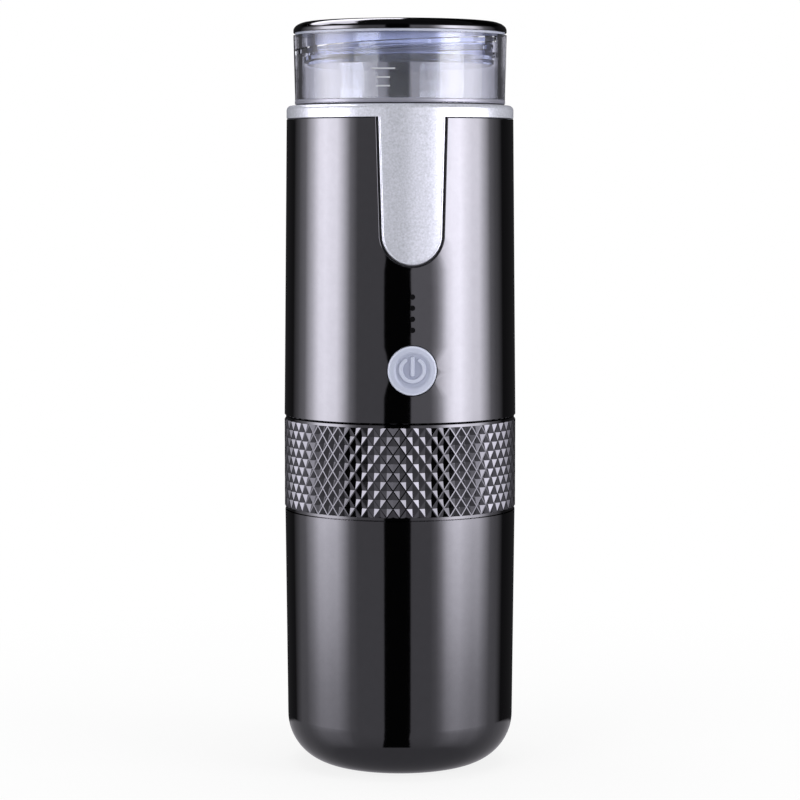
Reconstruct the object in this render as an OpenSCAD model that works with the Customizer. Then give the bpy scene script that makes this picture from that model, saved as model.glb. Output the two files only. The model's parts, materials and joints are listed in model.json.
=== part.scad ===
// Portable espresso machine: cup, knurled basket ring, black pump body, silver collar, clear tank and lid.
// Sizes are in millimetres. The origin is the middle of the cup's base, +Z is up and the button faces -Y.

/* [Cup] */
// Height of the cup
cup_h = 77.6; // [60:0.1:100]
// How far the cup's rim lies inside the knurl
cup_inset = 0.15; // [0:0.05:0.4]
// How much narrower the cup is above its rounded base than at its rim
cup_taper = 0.65; // [0:0.05:2]
// Radius of the rounded base corner
cup_corner_r = 15; // [8:0.5:20]
// Wall of the cup
cup_wall = 2.2; // [1.6:0.1:2.6]
// Floor of the cup
cup_floor = 3; // [2:0.1:5]
// Radius of the shallow hollow under the base
foot_hollow_r = 14; // [6:0.5:16]
// Depth of that hollow
foot_hollow_h = 0.8; // [0.3:0.1:1.5]

/* [Casing] */
// Radius over the knurl and at the foot of the shell
body_r = 35; // [34.5:0.1:42]
// Height of the knurled ring with both rims
ring_h = 27.9; // [26:0.1:40]
// Open seam between casings that come apart
seam = 0.3; // [0.2:0.05:0.6]
// Bevel on the casing edges at a seam
seam_bevel = 0.4; // [0.2:0.1:0.8]
// Height of the black shell
shell_h = 89.3; // [86:0.1:120]
// How much narrower the shell is at its top
shell_taper = 0.9; // [0:0.1:1.2]
// Wall of the shell
shell_wall = 2; // [1.5:0.1:2.3]
// Height of the rib inside the shell that rests on the brew head
shell_rib_h = 1.5; // [1:0.1:2]
// Width of that rib
shell_rib_w = 1.8; // [1:0.1:2]

/* [Collar and tongue] */
// Height of the silver collar
collar_h = 3.8; // [2.5:0.1:6]
// Rounding of the collar's upper edge
collar_edge_r = 1.5; // [0.5:0.1:2.2]
// Wall of the liner that carries the collar
liner_wall = 1.6; // [1.2:0.1:2]
// Height of the tongue's end above the foot of the shell
tongue_rise = 46.5; // [44:0.1:64]
// Half width of the tongue at the collar
tongue_half_w = 9.7; // [6:0.1:12]
// Radius of the tongue's round end
tongue_end_r = 8.75; // [5:0.05:11]
// Gap between the tongue and the shell
tongue_gap = 0.3; // [0.15:0.05:0.6]
// Width of the rebate around the slot in the shell
slot_rebate_w = 0.6; // [0.3:0.1:1.2]
// Depth of that rebate
slot_rebate_h = 0.5; // [0.2:0.1:1]
// How far the tongue's backing reaches past the slot
tongue_backing = 2; // [1:0.1:3]

/* [Button and lights] */
// Diameter of the power button
button_d = 14.4; // [10:0.1:16]
// Height of the button's middle above the foot of the shell
button_rise = 15.7; // [14:0.1:18]
// How far the button's face stands out of the shell
button_proud = 0.3; // [0:0.05:1]
// Travel of the button
button_travel = 0.8; // [0.3:0.05:1.2]
// Gap around the button
button_gap = 0.25; // [0.15:0.05:0.5]
// Width of the flange that holds the button in
button_flange_w = 0.9; // [0.5:0.1:1.5]
// Thickness of that flange
button_flange_t = 1; // [0.6:0.1:1.6]
// Middle radius of the power symbol
symbol_r = 3.9; // [2:0.05:4.5]
// Height of the symbol's middle above the button's middle
symbol_lift = 0.6; // [0:0.1:1]
// Line width of the power symbol
symbol_w = 1.3; // [0.6:0.1:1.6]
// Relief of the power symbol
symbol_h = 0.25; // [0.1:0.05:0.5]
// Diameter of an indicator window
light_d = 1.6; // [1:0.1:2.4]
// Height of the lowest window above the foot of the shell
light_rise = 27.5; // [26:0.1:30]
// Spacing of the windows
light_pitch = 3.22; // [2.8:0.02:3.6]
// Number of windows
light_count = 4; // [2:1:4]

/* [Charging socket] */
// Height of the socket above the foot of the shell
usb_rise = 16; // [12:0.1:24]
// Width of the socket's metal shell
usb_w = 8.94; // [8.5:0.02:9.4]
// Thickness of the socket's metal shell
usb_t = 3.26; // [3:0.02:3.6]
// Length of the socket
usb_len = 7.35; // [6.5:0.05:8.5]
// Sheet thickness of the socket's shell
usb_sheet = 0.3; // [0.2:0.05:0.4]
// How far the socket's mouth lies under the surface
usb_inset = 0.9; // [0.3:0.1:1.5]
// Gap between the socket and the shell
usb_gap = 0.25; // [0.15:0.05:0.5]

/* [Tank and lid] */
// Height of the clear tank above its shoulder seal
tank_h = 20.5; // [19:0.1:30]
// Step from the collar to the foot of the tank
tank_inset = 2.6; // [2:0.1:3]
// How much wider the tank is at its rim
tank_flare = 0.5; // [0:0.05:1]
// Wall of the tank
tank_wall = 2; // [1.5:0.1:2.4]
// Thickness of the tank's shoulder
tank_shoulder_t = 1.5; // [1:0.1:2.5]
// Thickness of the shoulder seal
tank_seal_t = 0.4; // [0.3:0.1:1]
// Thickness of the lid cap
lid_t = 3.4; // [3:0.1:6]
// Rounding of the lid cap's edge
lid_edge_r = 2.6; // [1:0.1:2.9]
// Thickness of the lid seal
lid_seal_t = 0.7; // [0.4:0.1:1.5]
// Depth of the plug below the lid cap
plug_h = 9.5; // [9:0.1:14]
// Wall of the plug
plug_wall = 2.2; // [1.5:0.1:3]
// Floor of the plug
plug_floor = 2.6; // [1:0.1:4]
// Height of the boss that holds the cap in the plug
cap_boss_h = 4; // [2:0.1:6]

/* [Threads] */
// Rise of the lid thread in one turn
lid_lead = 9; // [8.4:0.1:10]
// Rise of the brew head thread in one turn
head_lead = 10; // [9:0.1:11]
// Height of a thread ridge above its wall
ridge_h = 1.2; // [0.9:0.05:1.4]
// Width of a ridge at its foot
ridge_root_w = 2; // [1.6:0.1:2.3]
// Width of a ridge at its crest
ridge_tip_w = 1.2; // [0.8:0.1:1.4]
// Room between a ridge's crest and the facing wall
ridge_gap = 0.5; // [0.4:0.05:0.7]
// Turn of one lid ridge in degrees
lid_ridge_sweep = 150; // [90:10:160]
// Turn of one brew head ridge in degrees
head_ridge_sweep = 170; // [90:10:175]

/* [Knurled ring] */
// Depth of the pits of the knurl
knurl_depth = 0.9; // [0.4:0.05:1.2]
// Number of diamonds around
knurl_columns = 58; // [40:1:80]
// Number of diamonds from rim to rim
knurl_rows = 5; // [3:1:8]
// Height of each plain rim
rim_t = 0.8; // [0.5:0.1:1.5]
// How far the rims lie inside the knurl
rim_inset = 0.4; // [0.1:0.05:0.8]
// Wall of the knurled sleeve under its pits
sleeve_wall = 0.8; // [0.6:0.1:1.2]
// Wall of the basket carrier at its thread
carrier_wall = 2.65; // [2.2:0.05:3.2]
// Step under the trim ring
neck_step = 1; // [0.5:0.1:1.5]
// Length of the spigot that goes into the cup
spigot_len = 7.9; // [6:0.1:12]
// Wall of that spigot
spigot_wall = 3.7; // [3:0.1:4]
// Gap between the spigot and the cup
spigot_gap = 0.45; // [0.35:0.05:0.7]
// Radius of the O-ring's section
o_ring_r = 1; // [0.8:0.05:1.3]
// How far the O-ring stands out of the spigot
o_ring_proud = 0.25; // [0.1:0.05:0.3]

/* [Basket and spout] */
// Height of the basket's seat above the ring's foot
ledge_rise = 10.1; // [8:0.1:11]
// Thickness of that seat
ledge_t = 3; // [2:0.1:4]
// How far the basket's wall lies inside the casing
basket_inset = 12.2; // [11.6:0.1:16]
// Depth of the basket below its seat
basket_depth = 17.5; // [12:0.1:22]
// Sheet thickness of the basket
basket_wall = 1; // [0.6:0.1:1.2]
// Thickness of the basket's rim
basket_rim_t = 1.2; // [0.8:0.1:2]
// Radius of a hole in the basket and the screen
pore_r = 0.6; // [0.3:0.05:0.8]
// Spacing of the holes
pore_pitch = 4; // [3.6:0.1:4.2]
// Rings of holes around the middle
pore_rings = 4; // [2:1:4]
// Thickness of the brew gasket
gasket_t = 3; // [2:0.1:4]
// Wall of the drip funnel
funnel_wall = 1.2; // [0.8:0.1:1.6]
// Thickness of the funnel's flange
funnel_flange_t = 2; // [1.5:0.1:3]
// Height of the funnel's cone
funnel_cone_h = 8; // [5:0.5:14]
// Length of the spout under the cone
spout_len = 5; // [3:0.5:8]
// Radius of the spout's bore
spout_bore_r = 2.5; // [1.5:0.1:3.5]

/* [Brew head] */
// Thickness of the brew head's flange
head_flange_t = 2.8; // [2.4:0.1:4]
// Thickness of the shower screen
screen_t = 1.2; // [0.8:0.1:1.6]
// Height of the water room above the screen
water_room_h = 1.8; // [1:0.1:2.4]
// Radius of the check valve's ball
valve_ball_r = 2.4; // [2:0.05:2.6]
// Radius of the check valve's seat
valve_seat_r = 1.6; // [1.2:0.05:1.8]
// Length of the seat's bore
valve_seat_h = 2; // [1.5:0.1:2.4]
// Opening travel of the ball
valve_travel = 1; // [0.5:0.1:1.2]
// Radius of the valve spring's wire
spring_wire_r = 0.3; // [0.2:0.05:0.35]
// Turns of the valve spring
spring_turns = 4; // [3:1:4]
// Thickness of the valve's retainer
retainer_t = 1.6; // [1:0.1:2]

/* [Battery] */
// Diameter of a cell
given_cell_d = 18.3; // [17:0.1:18.8]
// Length of a cell
cell_len = 65; // [60:0.5:66]
// Distance of the side cells from the middle, to the side
given_cell_side_x = 19.15; // [19:0.05:19.4]
// Distance of the side cells from the middle, to the rear
given_cell_side_y = 6.2; // [5.9:0.1:6.5]
// Distance of the rear cell from the middle
given_cell_rear_y = 12.5; // [12.3:0.1:13.5]
// Thickness of a cell tab
tab_t = 0.3; // [0.15:0.05:0.5]
// Width of a cell tab
tab_w = 6; // [4:0.5:8]

/* [Frames] */
// Thickness of the lower frame's deck
deck_t = 2; // [1.5:0.1:3]
// Thickness of the upper frame
upper_frame_t = 3; // [2.6:0.1:4]
// Radius of a post
post_r = 2.8; // [2.4:0.1:3.2]
// How far the posts stand inside the casing
post_inset = 8.5; // [8.2:0.1:9]
// Height of the cups that hold the cells
cell_cup_h = 6; // [3:0.5:10]
// Wall of those cups
cell_cup_wall = 1; // [0.8:0.1:1.1]

/* [Boards] */
// Height of the control board
board_h = 37; // [36:0.5:38]
// Thickness of the control board
board_t = 1.6; // [1:0.1:2]
// Side of the switch housing
switch_side = 6; // [4.5:0.1:7]
// Thickness of the switch housing
switch_t = 3.3; // [3:0.1:3.6]
// Width of the charge board
charge_board_w = 16; // [12:0.5:17]
// Height of the charge board
charge_board_h = 18; // [14:0.5:24]
// Thickness of the charge board
charge_board_t = 1.2; // [0.8:0.1:1.6]

/* [Pump and motor] */
// Pitch radius of a pump gear
given_gear_pitch_r = 5; // [4.6:0.1:5.1]
// Number of teeth on a pump gear
gear_teeth = 8; // [6:1:10]
// Width of a pump gear
gear_w = 9.9; // [6:0.1:11]
// Distance of the gears from the middle, to the front
given_gear_y = 10; // [9.8:0.1:10.6]
// Wall around the gear room
given_pump_wall = 4.85; // [4.5:0.05:5]
// Thickness of the pump's cover
pump_cover_t = 3; // [2.5:0.1:4]
// Thickness of the pump's roof
pump_roof_t = 4; // [3.5:0.1:5]
// Height of the bosses under the pump
standoff_h = 3; // [2.4:0.1:4]
// Radius of the gear shafts
shaft_r = 1.5; // [1.2:0.05:1.7]
// Radius of the motor
given_motor_r = 11; // [10:0.1:11.2]
// Length of the motor
motor_len = 32; // [26:0.5:36]
// Wall of the motor's can
motor_wall = 1; // [0.8:0.1:1.4]
// Thickness of the magnets
magnet_t = 1.8; // [1.2:0.1:2]
// Height of the pump rim that holds the motor
motor_seat_h = 4; // [2:0.5:8]
// Wall of that rim
motor_seat_wall = 1.1; // [0.8:0.1:1.2]
// Outer radius of the brass outlet nipple
nipple_r = 2.5; // [2.2:0.05:2.6]
// Bore of the outlet nipple
nipple_bore_r = 1.2; // [0.8:0.05:1.5]
// Distance of the outlet from the middle, to the front
given_outlet_y = 15; // [14.8:0.1:15.4]
// Sideways place of the inlet
given_inlet_x = 8; // [7.8:0.1:8.2]
// Distance of the inlet from the middle, to the front
given_inlet_y = 0.5; // [0.3:0.1:0.7]
// Outer radius of the inlet tube
tube_r = 2.6; // [2.3:0.05:2.8]
// Radius of the nipples inside the inlet tube
tube_nipple_r = 1.5; // [1.3:0.05:1.6]
// Bore of those nipples
tube_nipple_bore_r = 0.9; // [0.6:0.05:1]
// Length of the nipples inside the inlet tube
tube_grip = 7; // [4:0.5:10]

/* [Heater] */
// Height of the heater pot
pot_h = 6; // [4:0.1:7]
// Sheet thickness of the pot
pot_wall = 1; // [0.6:0.1:1.4]
// Thickness of the pot's support ring
pot_support_t = 2; // [1.8:0.1:3]
// Width of the pot's support ring
pot_support_w = 3.2; // [2:0.1:4]
// Thickness of the heater plate
heater_t = 1.4; // [0.8:0.1:1.6]
// Thickness of the gasket between pot and tank
pot_gasket_t = 1.2; // [0.8:0.1:2]
// Radius of the temperature sensor
sensor_r = 2.2; // [1.5:0.1:3]

/* [Screws] */
// Radius of the frame and head screws' shanks
screw_r = 1.5; // [1.2:0.05:1.6]
// Radius of their heads
screw_head_r = 2.7; // [2.3:0.05:2.8]
// Height of their heads
screw_head_h = 1.8; // [1.4:0.1:2]
// Length of thread that they hold in
screw_grip = 7; // [5:0.5:8]
// Radius of the pump and funnel screws' shanks
small_screw_r = 1.15; // [0.9:0.05:1.25]
// Radius of their heads
small_screw_head_r = 2.2; // [1.9:0.05:2.25]
// Height of their heads
small_screw_head_h = 1.5; // [1.2:0.1:2]

/* [Hidden] */
$fn = 72;

// Fits: a running shaft, a screw in its pilot hole, a screw in its passing hole,
// a piece in its pocket and a pressed pin
run_fit = 0.05;
pilot_fit = 0.05;
pass_fit = 0.2;
pocket_fit = 0.1;
press_fit = 0.02;
// Room around pieces that must not rub, and the wider room inside the shell
room = 0.3;
inner_room = 0.4;
// How far a cutter reaches past the face that it opens
past = 1;
// How far a ridge is rooted in its wall
rooted = 0.4;
// Starts of each thread
thread_starts = 2;
// Wall of a boss around its screw
boss_wall = 1.8;

// Sizes across the inside are given for a casing of this radius, and follow the casing
given_body_r = 35;
inside = body_r / given_body_r;
cell_d = given_cell_d * inside;
cell_side_x = given_cell_side_x * inside;
cell_side_y = given_cell_side_y * inside;
cell_rear_y = given_cell_rear_y * inside;
gear_pitch_r = given_gear_pitch_r * inside;
gear_y = given_gear_y * inside;
pump_wall = given_pump_wall * inside;
motor_r = given_motor_r * inside;
outlet_y = given_outlet_y * inside;
inlet_x = given_inlet_x * inside;
inlet_y = given_inlet_y * inside;

// Radii of the casing
cup_rim_r = body_r - cup_inset;
cup_base_r = cup_rim_r - cup_taper;
cup_mouth_r = cup_rim_r - cup_wall;
shell_top_r = body_r - shell_taper;
liner_r = shell_top_r - shell_wall - room;
liner_in_r = liner_r - liner_wall;
deck_r = body_r - shell_wall - shell_rib_w - inner_room;

// Levels from the base upwards
ring_z = cup_h + seam;
ring_top_z = ring_z + ring_h;
ledge_z = ring_z + ledge_rise;
basket_rim_z = ledge_z + basket_rim_t;
head_z = basket_rim_z + gasket_t;
shell_z = ring_top_z + seam;
shell_top_z = shell_z + shell_h;
deck_z = shell_z + head_flange_t;
deck_top_z = deck_z + deck_t;
cell_z = deck_top_z + tab_t;
upper_frame_z = cell_z + cell_len + tab_t;
upper_frame_top_z = upper_frame_z + upper_frame_t;
pot_z = upper_frame_top_z + pot_support_t;
pot_gasket_z = pot_z + pot_h;
skirt_z = pot_gasket_z + pot_gasket_t;
collar_top_z = shell_top_z + collar_h;
tongue_end_z = shell_z + tongue_rise + tongue_end_r;
tank_z = collar_top_z + tank_seal_t;
tank_rim_z = tank_z + tank_h;
lid_z = tank_rim_z + lid_seal_t;
pump_z = deck_top_z + standoff_h;
gear_room_z = pump_z + pump_cover_t;
gear_room_h = gear_w + 2 * run_fit;
pump_roof_z = gear_room_z + gear_room_h;
motor_z = pump_roof_z + pump_roof_t;
button_z = shell_z + button_rise;
light_z = shell_z + light_rise;
usb_z = shell_z + usb_rise;

// Radius of the shell's outside at a height
function shell_r(z) = body_r - shell_taper * (z - shell_z) / shell_h;
// Depth from the axis of a round wall at a sideways distance
function depth_at(r, x) = sqrt(r * r - x * x);
// A point at a distance and an angle from the axis
function polar(r, a) = [r * cos(a), r * sin(a)];

// Knurled ring and thread of the brew head
sleeve_in_r = body_r - knurl_depth - sleeve_wall;
barrel_r = sleeve_in_r - run_fit;
neck_r = barrel_r - neck_step;
rim_r = body_r - rim_inset;
head_bore_r = barrel_r - carrier_wall;
head_ridge_tip_r = head_bore_r - ridge_gap;
carrier_ridge_tip_r = head_bore_r - ridge_h;
head_core_r = head_ridge_tip_r - ridge_h;
head_pitch = head_lead / thread_starts;
head_ridge_z = head_z + ridge_root_w + past;
spigot_r = cup_mouth_r - spigot_gap;
spigot_in_r = spigot_r - spigot_wall;
o_ring_mid_r = spigot_r + o_ring_proud - o_ring_r;
o_ring_z = ring_z - spigot_len / 2;

// Basket, funnel and brew head
basket_rim_r = carrier_ridge_tip_r - 2 * room;
basket_r = body_r - basket_inset;
basket_in_r = basket_r - basket_wall;
basket_z = ledge_z - basket_depth;
seat_hole_r = basket_r + 2 * room;
funnel_in_r = seat_hole_r + pass_fit;
funnel_r = funnel_in_r + funnel_wall;
funnel_flange_r = spigot_in_r - room;
funnel_top_z = ledge_z - ledge_t;
funnel_cone_z = basket_z - 5 * room;
spout_r = spout_bore_r + 2 * funnel_wall;
funnel_screw_count = 3;
funnel_screw_reach = (funnel_r + funnel_flange_r) / 2;
funnel_screw_head_r = (funnel_flange_r - funnel_r) / 2 - room;
funnel_screw_lip = 0.55;
funnel_screw_r = funnel_screw_head_r - funnel_screw_lip;
funnel_screw_hold = 2.1;
gasket_in_r = basket_in_r + 2 * room;
gasket_r = basket_rim_r - room;
screen_r = basket_in_r - room;
screen_z = head_z + run_fit;
water_room_z = screen_z + screen_t;
screen_lap = 2.6;
water_room_r = screen_r - screen_lap;
screen_boss_r = screw_r + boss_wall;
head_r = body_r - shell_wall - inner_room;
front_screw = [16, -18] * inside;
rear_screw = [11, 23.5] * inside;
head_screw_places = [for (s = [-1, 1], p = [front_screw, rear_screw]) [s * p[0], p[1]]];
valve_side_room = 0.7;
valve_room_r = valve_ball_r + valve_side_room;
nipple_socket_h = 1.8;
valve_seat_z = deck_z - valve_seat_h - nipple_socket_h;
valve_ball_z = valve_seat_z - depth_at(valve_ball_r, valve_seat_r) - run_fit;
valve_retainer_z = water_room_z + water_room_h;
spring_r = valve_ball_r - spring_wire_r - pass_fit;
spring_z = valve_retainer_z + retainer_t;
spring_top_z = valve_ball_z - depth_at(valve_ball_r, spring_r - spring_wire_r);

// Frames, cells and boards
post_angles = [50, 130, 205, 335];
post_reach = body_r - post_inset;
cell_places = [[-cell_side_x, cell_side_y], [0, cell_rear_y], [cell_side_x, cell_side_y]];
cell_nub_r = 3.2;
cell_nub_h = 1;
button_r = button_d / 2;
button_flange_r = button_r + button_gap + button_flange_w;
button_flange_y = depth_at(shell_r(button_z) - shell_wall, button_flange_r) - room;
button_back_y = button_flange_y - button_flange_t;
switch_y = button_back_y - button_travel - room;
board_y = switch_y - switch_t;
board_back_y = board_y - board_t;
board_lift = 2;
board_z = deck_top_z + board_lift;
plunger_r = 1.7;
plunger_in = 0.9;
switch_bore_h = plunger_in + button_travel + room;
rail_short = 7;
rail_h = board_h - rail_short;
rail_lap = 1.2;
rail_w = 3.2;
rail_lip = 1.2;
board_w = 2 * (depth_at(deck_r - room, board_y + rail_lip) - rail_w + rail_lap);
light_rod_r = light_d / 2 - run_fit;
lamp_t = 0.9;
lamp_w = 2;
lamp_h = 1.2;
guide_w = 5;
guide_t = 2;
guide_margin = 2;
guide_y = depth_at(shell_r(light_z + light_pitch * light_count) - shell_wall, guide_w / 2) - run_fit;
usb_mouth_y = shell_r(usb_z) - usb_inset;
charge_board_y = usb_mouth_y - usb_len;
charge_board_z = deck_top_z + board_lift;
charge_foot_h = 5;
charge_foot_w = charge_board_w / 2;
charge_foot_lip = 1.3;

// Pump, motor and water path
gear_x = gear_pitch_r;
gear_trim = 0.08;
gear_roll_r = gear_pitch_r / (2 * gear_teeth);
gear_room_r = gear_pitch_r + 2 * gear_roll_r;
pump_r = gear_room_r + pump_wall;
port_r = 2;
passage_r = 1.5;
passage_z = pump_roof_z - 2 * passage_r;
pump_screw_reach = gear_room_r + pump_wall / 2;
pump_screw_places = [[-gear_x - pump_screw_reach, -gear_y], [gear_x + pump_screw_reach, -gear_y],
    [-gear_x, -gear_y + pump_screw_reach], [gear_x, -gear_y - pump_screw_reach]];
standoff_r = small_screw_r + boss_wall;
pump_screw_head_z = motor_z - small_screw_head_h - room;
axle_hold = 2;
inlet_boss_wall = 0.8;
inlet_boss_r = tube_r + inlet_boss_wall;
rotor_gap = 0.8;
rotor_r = motor_r - motor_wall - magnet_t - rotor_gap;
rotor_margin = 5;
end_cap_t = 2;
magnet_sweep = 130;
tube_z = motor_z + room;
tube_top_z = upper_frame_z - room;

// Heater and tank
skirt_r = liner_in_r - pocket_fit;
skirt_in_r = skirt_r - tank_wall;
pot_r = skirt_r - room;
heater_r = pot_r - pot_support_w - room;
sensor_x = 12 * inside;
sensor_y = 14 * inside;
sensor_flange_w = 1;
sensor_flange_t = 1;
sensor_tail = 2;
tank_foot_r = shell_top_r - tank_inset;
tank_rim_r = tank_foot_r + tank_flare;
tank_bore_r = tank_foot_r - tank_wall;
plug_ridge_tip_r = tank_bore_r - ridge_gap;
tank_ridge_tip_r = tank_bore_r - ridge_h;
plug_r = plug_ridge_tip_r - ridge_h;
plug_in_r = plug_r - plug_wall;
plug_z = lid_z - plug_h;
plug_ridge_z = plug_z + ridge_root_w / 2 + room;
lid_pitch = lid_lead / thread_starts;
lid_r = tank_rim_r;
lid_seal_r = tank_rim_r - 2 * room;
lid_seal_in_r = plug_r + room;

// Steps of the curves that are swept
sweep_step = 10;
tooth_steps = 6;
spring_sides = 6;
spring_steps = 12;

// A tube standing on its lower face
module tube(r, bore, h) {
    difference() {
        cylinder(r = r, h = h);
        translate([0, 0, -past]) cylinder(r = bore, h = h + 2 * past);
    }
}

// A cylinder that points to the front, from one depth to another
module front_cylinder(r, near, far) {
    translate([0, -near, 0]) rotate([90, 0, 0]) cylinder(r = r, h = far - near);
}

// A tapered ring with bevelled outer edges, as a half section
module casing_section(r_low, r_high, h, wall) {
    polygon([[r_low - wall, 0], [r_low - seam_bevel, 0], [r_low, seam_bevel],
        [r_high, h - seam_bevel], [r_high - seam_bevel, h], [r_high - wall, h]]);
}

// Half section of a cup with a rounded base corner and a slightly flaring wall
module cup_section(r_low, r_high, corner, h) {
    polygon([[0, corner], [r_low, corner], [r_high, h], [0, h]]);
    square([r_low - corner, corner]);
    translate([r_low - corner, corner]) intersection() {
        circle(corner);
        translate([0, -corner]) square(corner);
    }
}

// Half section of a disc or ring with a rounded upper edge
module rounded_section(r_in, r, h, edge) {
    translate([r_in, 0]) square([r - r_in, h - edge]);
    translate([r_in, 0]) square([r - edge - r_in, h]);
    translate([r - edge, h - edge]) intersection() {
        circle(edge);
        square(edge);
    }
}

// A ridge of a screw thread: a trapezoid carried up a right hand helix
module thread_ridge(r_root, r_tip, lead, sweep, start, z) {
    steps = ceil(sweep / sweep_step);
    section = r_tip > r_root
        ? [[r_root, -ridge_root_w / 2], [r_tip, -ridge_tip_w / 2],
            [r_tip, ridge_tip_w / 2], [r_root, ridge_root_w / 2]]
        : [[r_tip, -ridge_tip_w / 2], [r_root, -ridge_root_w / 2],
            [r_root, ridge_root_w / 2], [r_tip, ridge_tip_w / 2]];
    points = [for (i = [0:steps]) let (turn = sweep * i / steps) for (p = section)
        [p[0] * cos(start + turn), p[0] * sin(start + turn), z + p[1] + lead * turn / 360]];
    sides = [for (i = [0:steps - 1], j = [0:3]) let (a = 4 * i + j, b = 4 * i + (j + 1) % 4)
        each [[a, b, b + 4], [a, b + 4, a + 4]]];
    last = 4 * steps;
    ends = [[2, 1, 0], [3, 2, 0], [last, last + 1, last + 2], [last, last + 2, last + 3]];
    polyhedron(points, concat(sides, ends));
}

// All ridges of one thread
module thread(r_root, r_tip, lead, sweep, z) {
    for (i = [0:thread_starts - 1])
        thread_ridge(r_root, r_tip, lead, sweep, i * 360 / thread_starts, z);
}

// A screw with its head's underside at the origin, pointing down
module screw(r, head_r, head_h, len) {
    translate([0, 0, -len]) cylinder(r = r, h = len);
    cylinder(r = head_r, h = head_h);
}

// Rings of small holes around the middle
module pores(h) {
    for (k = [1:pore_rings], i = [0:6 * k - 1])
        translate(polar(k * pore_pitch, 60 * i / k)) cylinder(r = pore_r, h = h);
}

// Straight part of the tongue, grown by a margin and carried through the front wall
module tongue_sides(margin) {
    end_r = tongue_end_r + margin;
    half_w = tongue_half_w + margin;
    rise = shell_top_z - tongue_end_z;
    rotate([90, 0, 0]) linear_extrude(body_r + past) translate([0, tongue_end_z])
        polygon([[-end_r, 0], [end_r, 0], [half_w, rise], [half_w, rise + past],
            [-half_w, rise + past], [-half_w, rise]]);
}

// Round end of the tongue, which its sides run into
module tongue_end(margin) {
    translate([0, 0, tongue_end_z]) front_cylinder(tongue_end_r + margin, 0, body_r + past);
}

// A wall that follows the shell's taper, between two depths under its surface
module wall_layer(top, bottom) {
    rotate_extrude() polygon([[shell_r(shell_z) - bottom, shell_z], [shell_r(shell_z) - top, shell_z],
        [shell_top_r - top, shell_top_z], [shell_top_r - bottom, shell_top_z]]);
}

// The tongue's outline, grown by a margin, between two depths under the shell's surface
module tongue_layer(margin, top, bottom) {
    intersection() {
        tongue_sides(margin);
        wall_layer(top, bottom);
    }
    intersection() {
        tongue_end(margin);
        wall_layer(top, bottom);
    }
}

// Line drawing of the power symbol, in the plane of the button's face
module power_symbol() {
    gap_half = 40;
    reach = 2 * symbol_r;
    translate([0, symbol_lift]) difference() {
        circle(symbol_r + symbol_w / 2);
        circle(symbol_r - symbol_w / 2);
        polygon([[0, 0], reach * [-sin(gap_half), cos(gap_half)], [0, 2 * reach],
            reach * [sin(gap_half), cos(gap_half)]]);
    }
    translate([-symbol_w / 2, -symbol_w]) square([symbol_w, symbol_r + symbol_lift + symbol_w]);
}

// Gear outline: each tooth is an epicycloid and each space a hypocycloid of one rolling circle
function tooth_point(t) = let (k = gear_pitch_r / gear_roll_r, half = 180 / gear_teeth,
        outward = floor(t / half) % 2 == 0, r = gear_roll_r, s = gear_pitch_r)
    outward ? [(s + r) * cos(t) - r * cos((k + 1) * t), (s + r) * sin(t) - r * sin((k + 1) * t)]
        : [(s - r) * cos(t) + r * cos((k - 1) * t), (s - r) * sin(t) - r * sin((k - 1) * t)];
function trimmed(p) = p * (1 - gear_trim / norm(p));

module gear(phase, bore) {
    count = 2 * gear_teeth * tooth_steps;
    outline = [for (i = [0:count - 1]) trimmed(tooth_point(360 * i / count))];
    rotate(phase) difference() {
        linear_extrude(gear_w) polygon(outline);
        translate([0, 0, -past]) cylinder(r = bore, h = gear_w + 2 * past);
    }
}

// One cell standing at its place
module cell(i) {
    translate([cell_places[i][0], cell_places[i][1], cell_z]) color("#3f6f8f") {
        cylinder(d = cell_d, h = cell_len - cell_nub_h);
        translate([0, 0, cell_len - cell_nub_h]) cylinder(r = cell_nub_r, h = cell_nub_h);
    }
}

// A strip that joins two cells, grown by a margin
module cell_tab(a, b, z, margin) {
    from = cell_places[a];
    step = cell_places[b] - from;
    half_w = tab_w / 2 + margin;
    translate([from[0], from[1], z]) rotate(atan2(step[1], step[0]))
        translate([-half_w, -half_w, 0]) cube([norm(step) + 2 * half_w, 2 * half_w, tab_t + margin]);
}

module coffee_cup() {
    corner_in = cup_corner_r - cup_wall;
    color("#101012") difference() {
        rotate_extrude() cup_section(cup_base_r, cup_rim_r, cup_corner_r, cup_h);
        translate([0, 0, cup_floor]) rotate_extrude()
            cup_section(cup_base_r - cup_wall, cup_mouth_r, corner_in, cup_h - cup_floor);
        translate([0, 0, -past]) cylinder(r = foot_hollow_r, h = foot_hollow_h + past);
    }
}

module cup_o_ring() {
    color("#303034") translate([0, 0, o_ring_z]) rotate_extrude()
        translate([o_ring_mid_r, 0]) circle(o_ring_r, $fn = 32);
}

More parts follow.
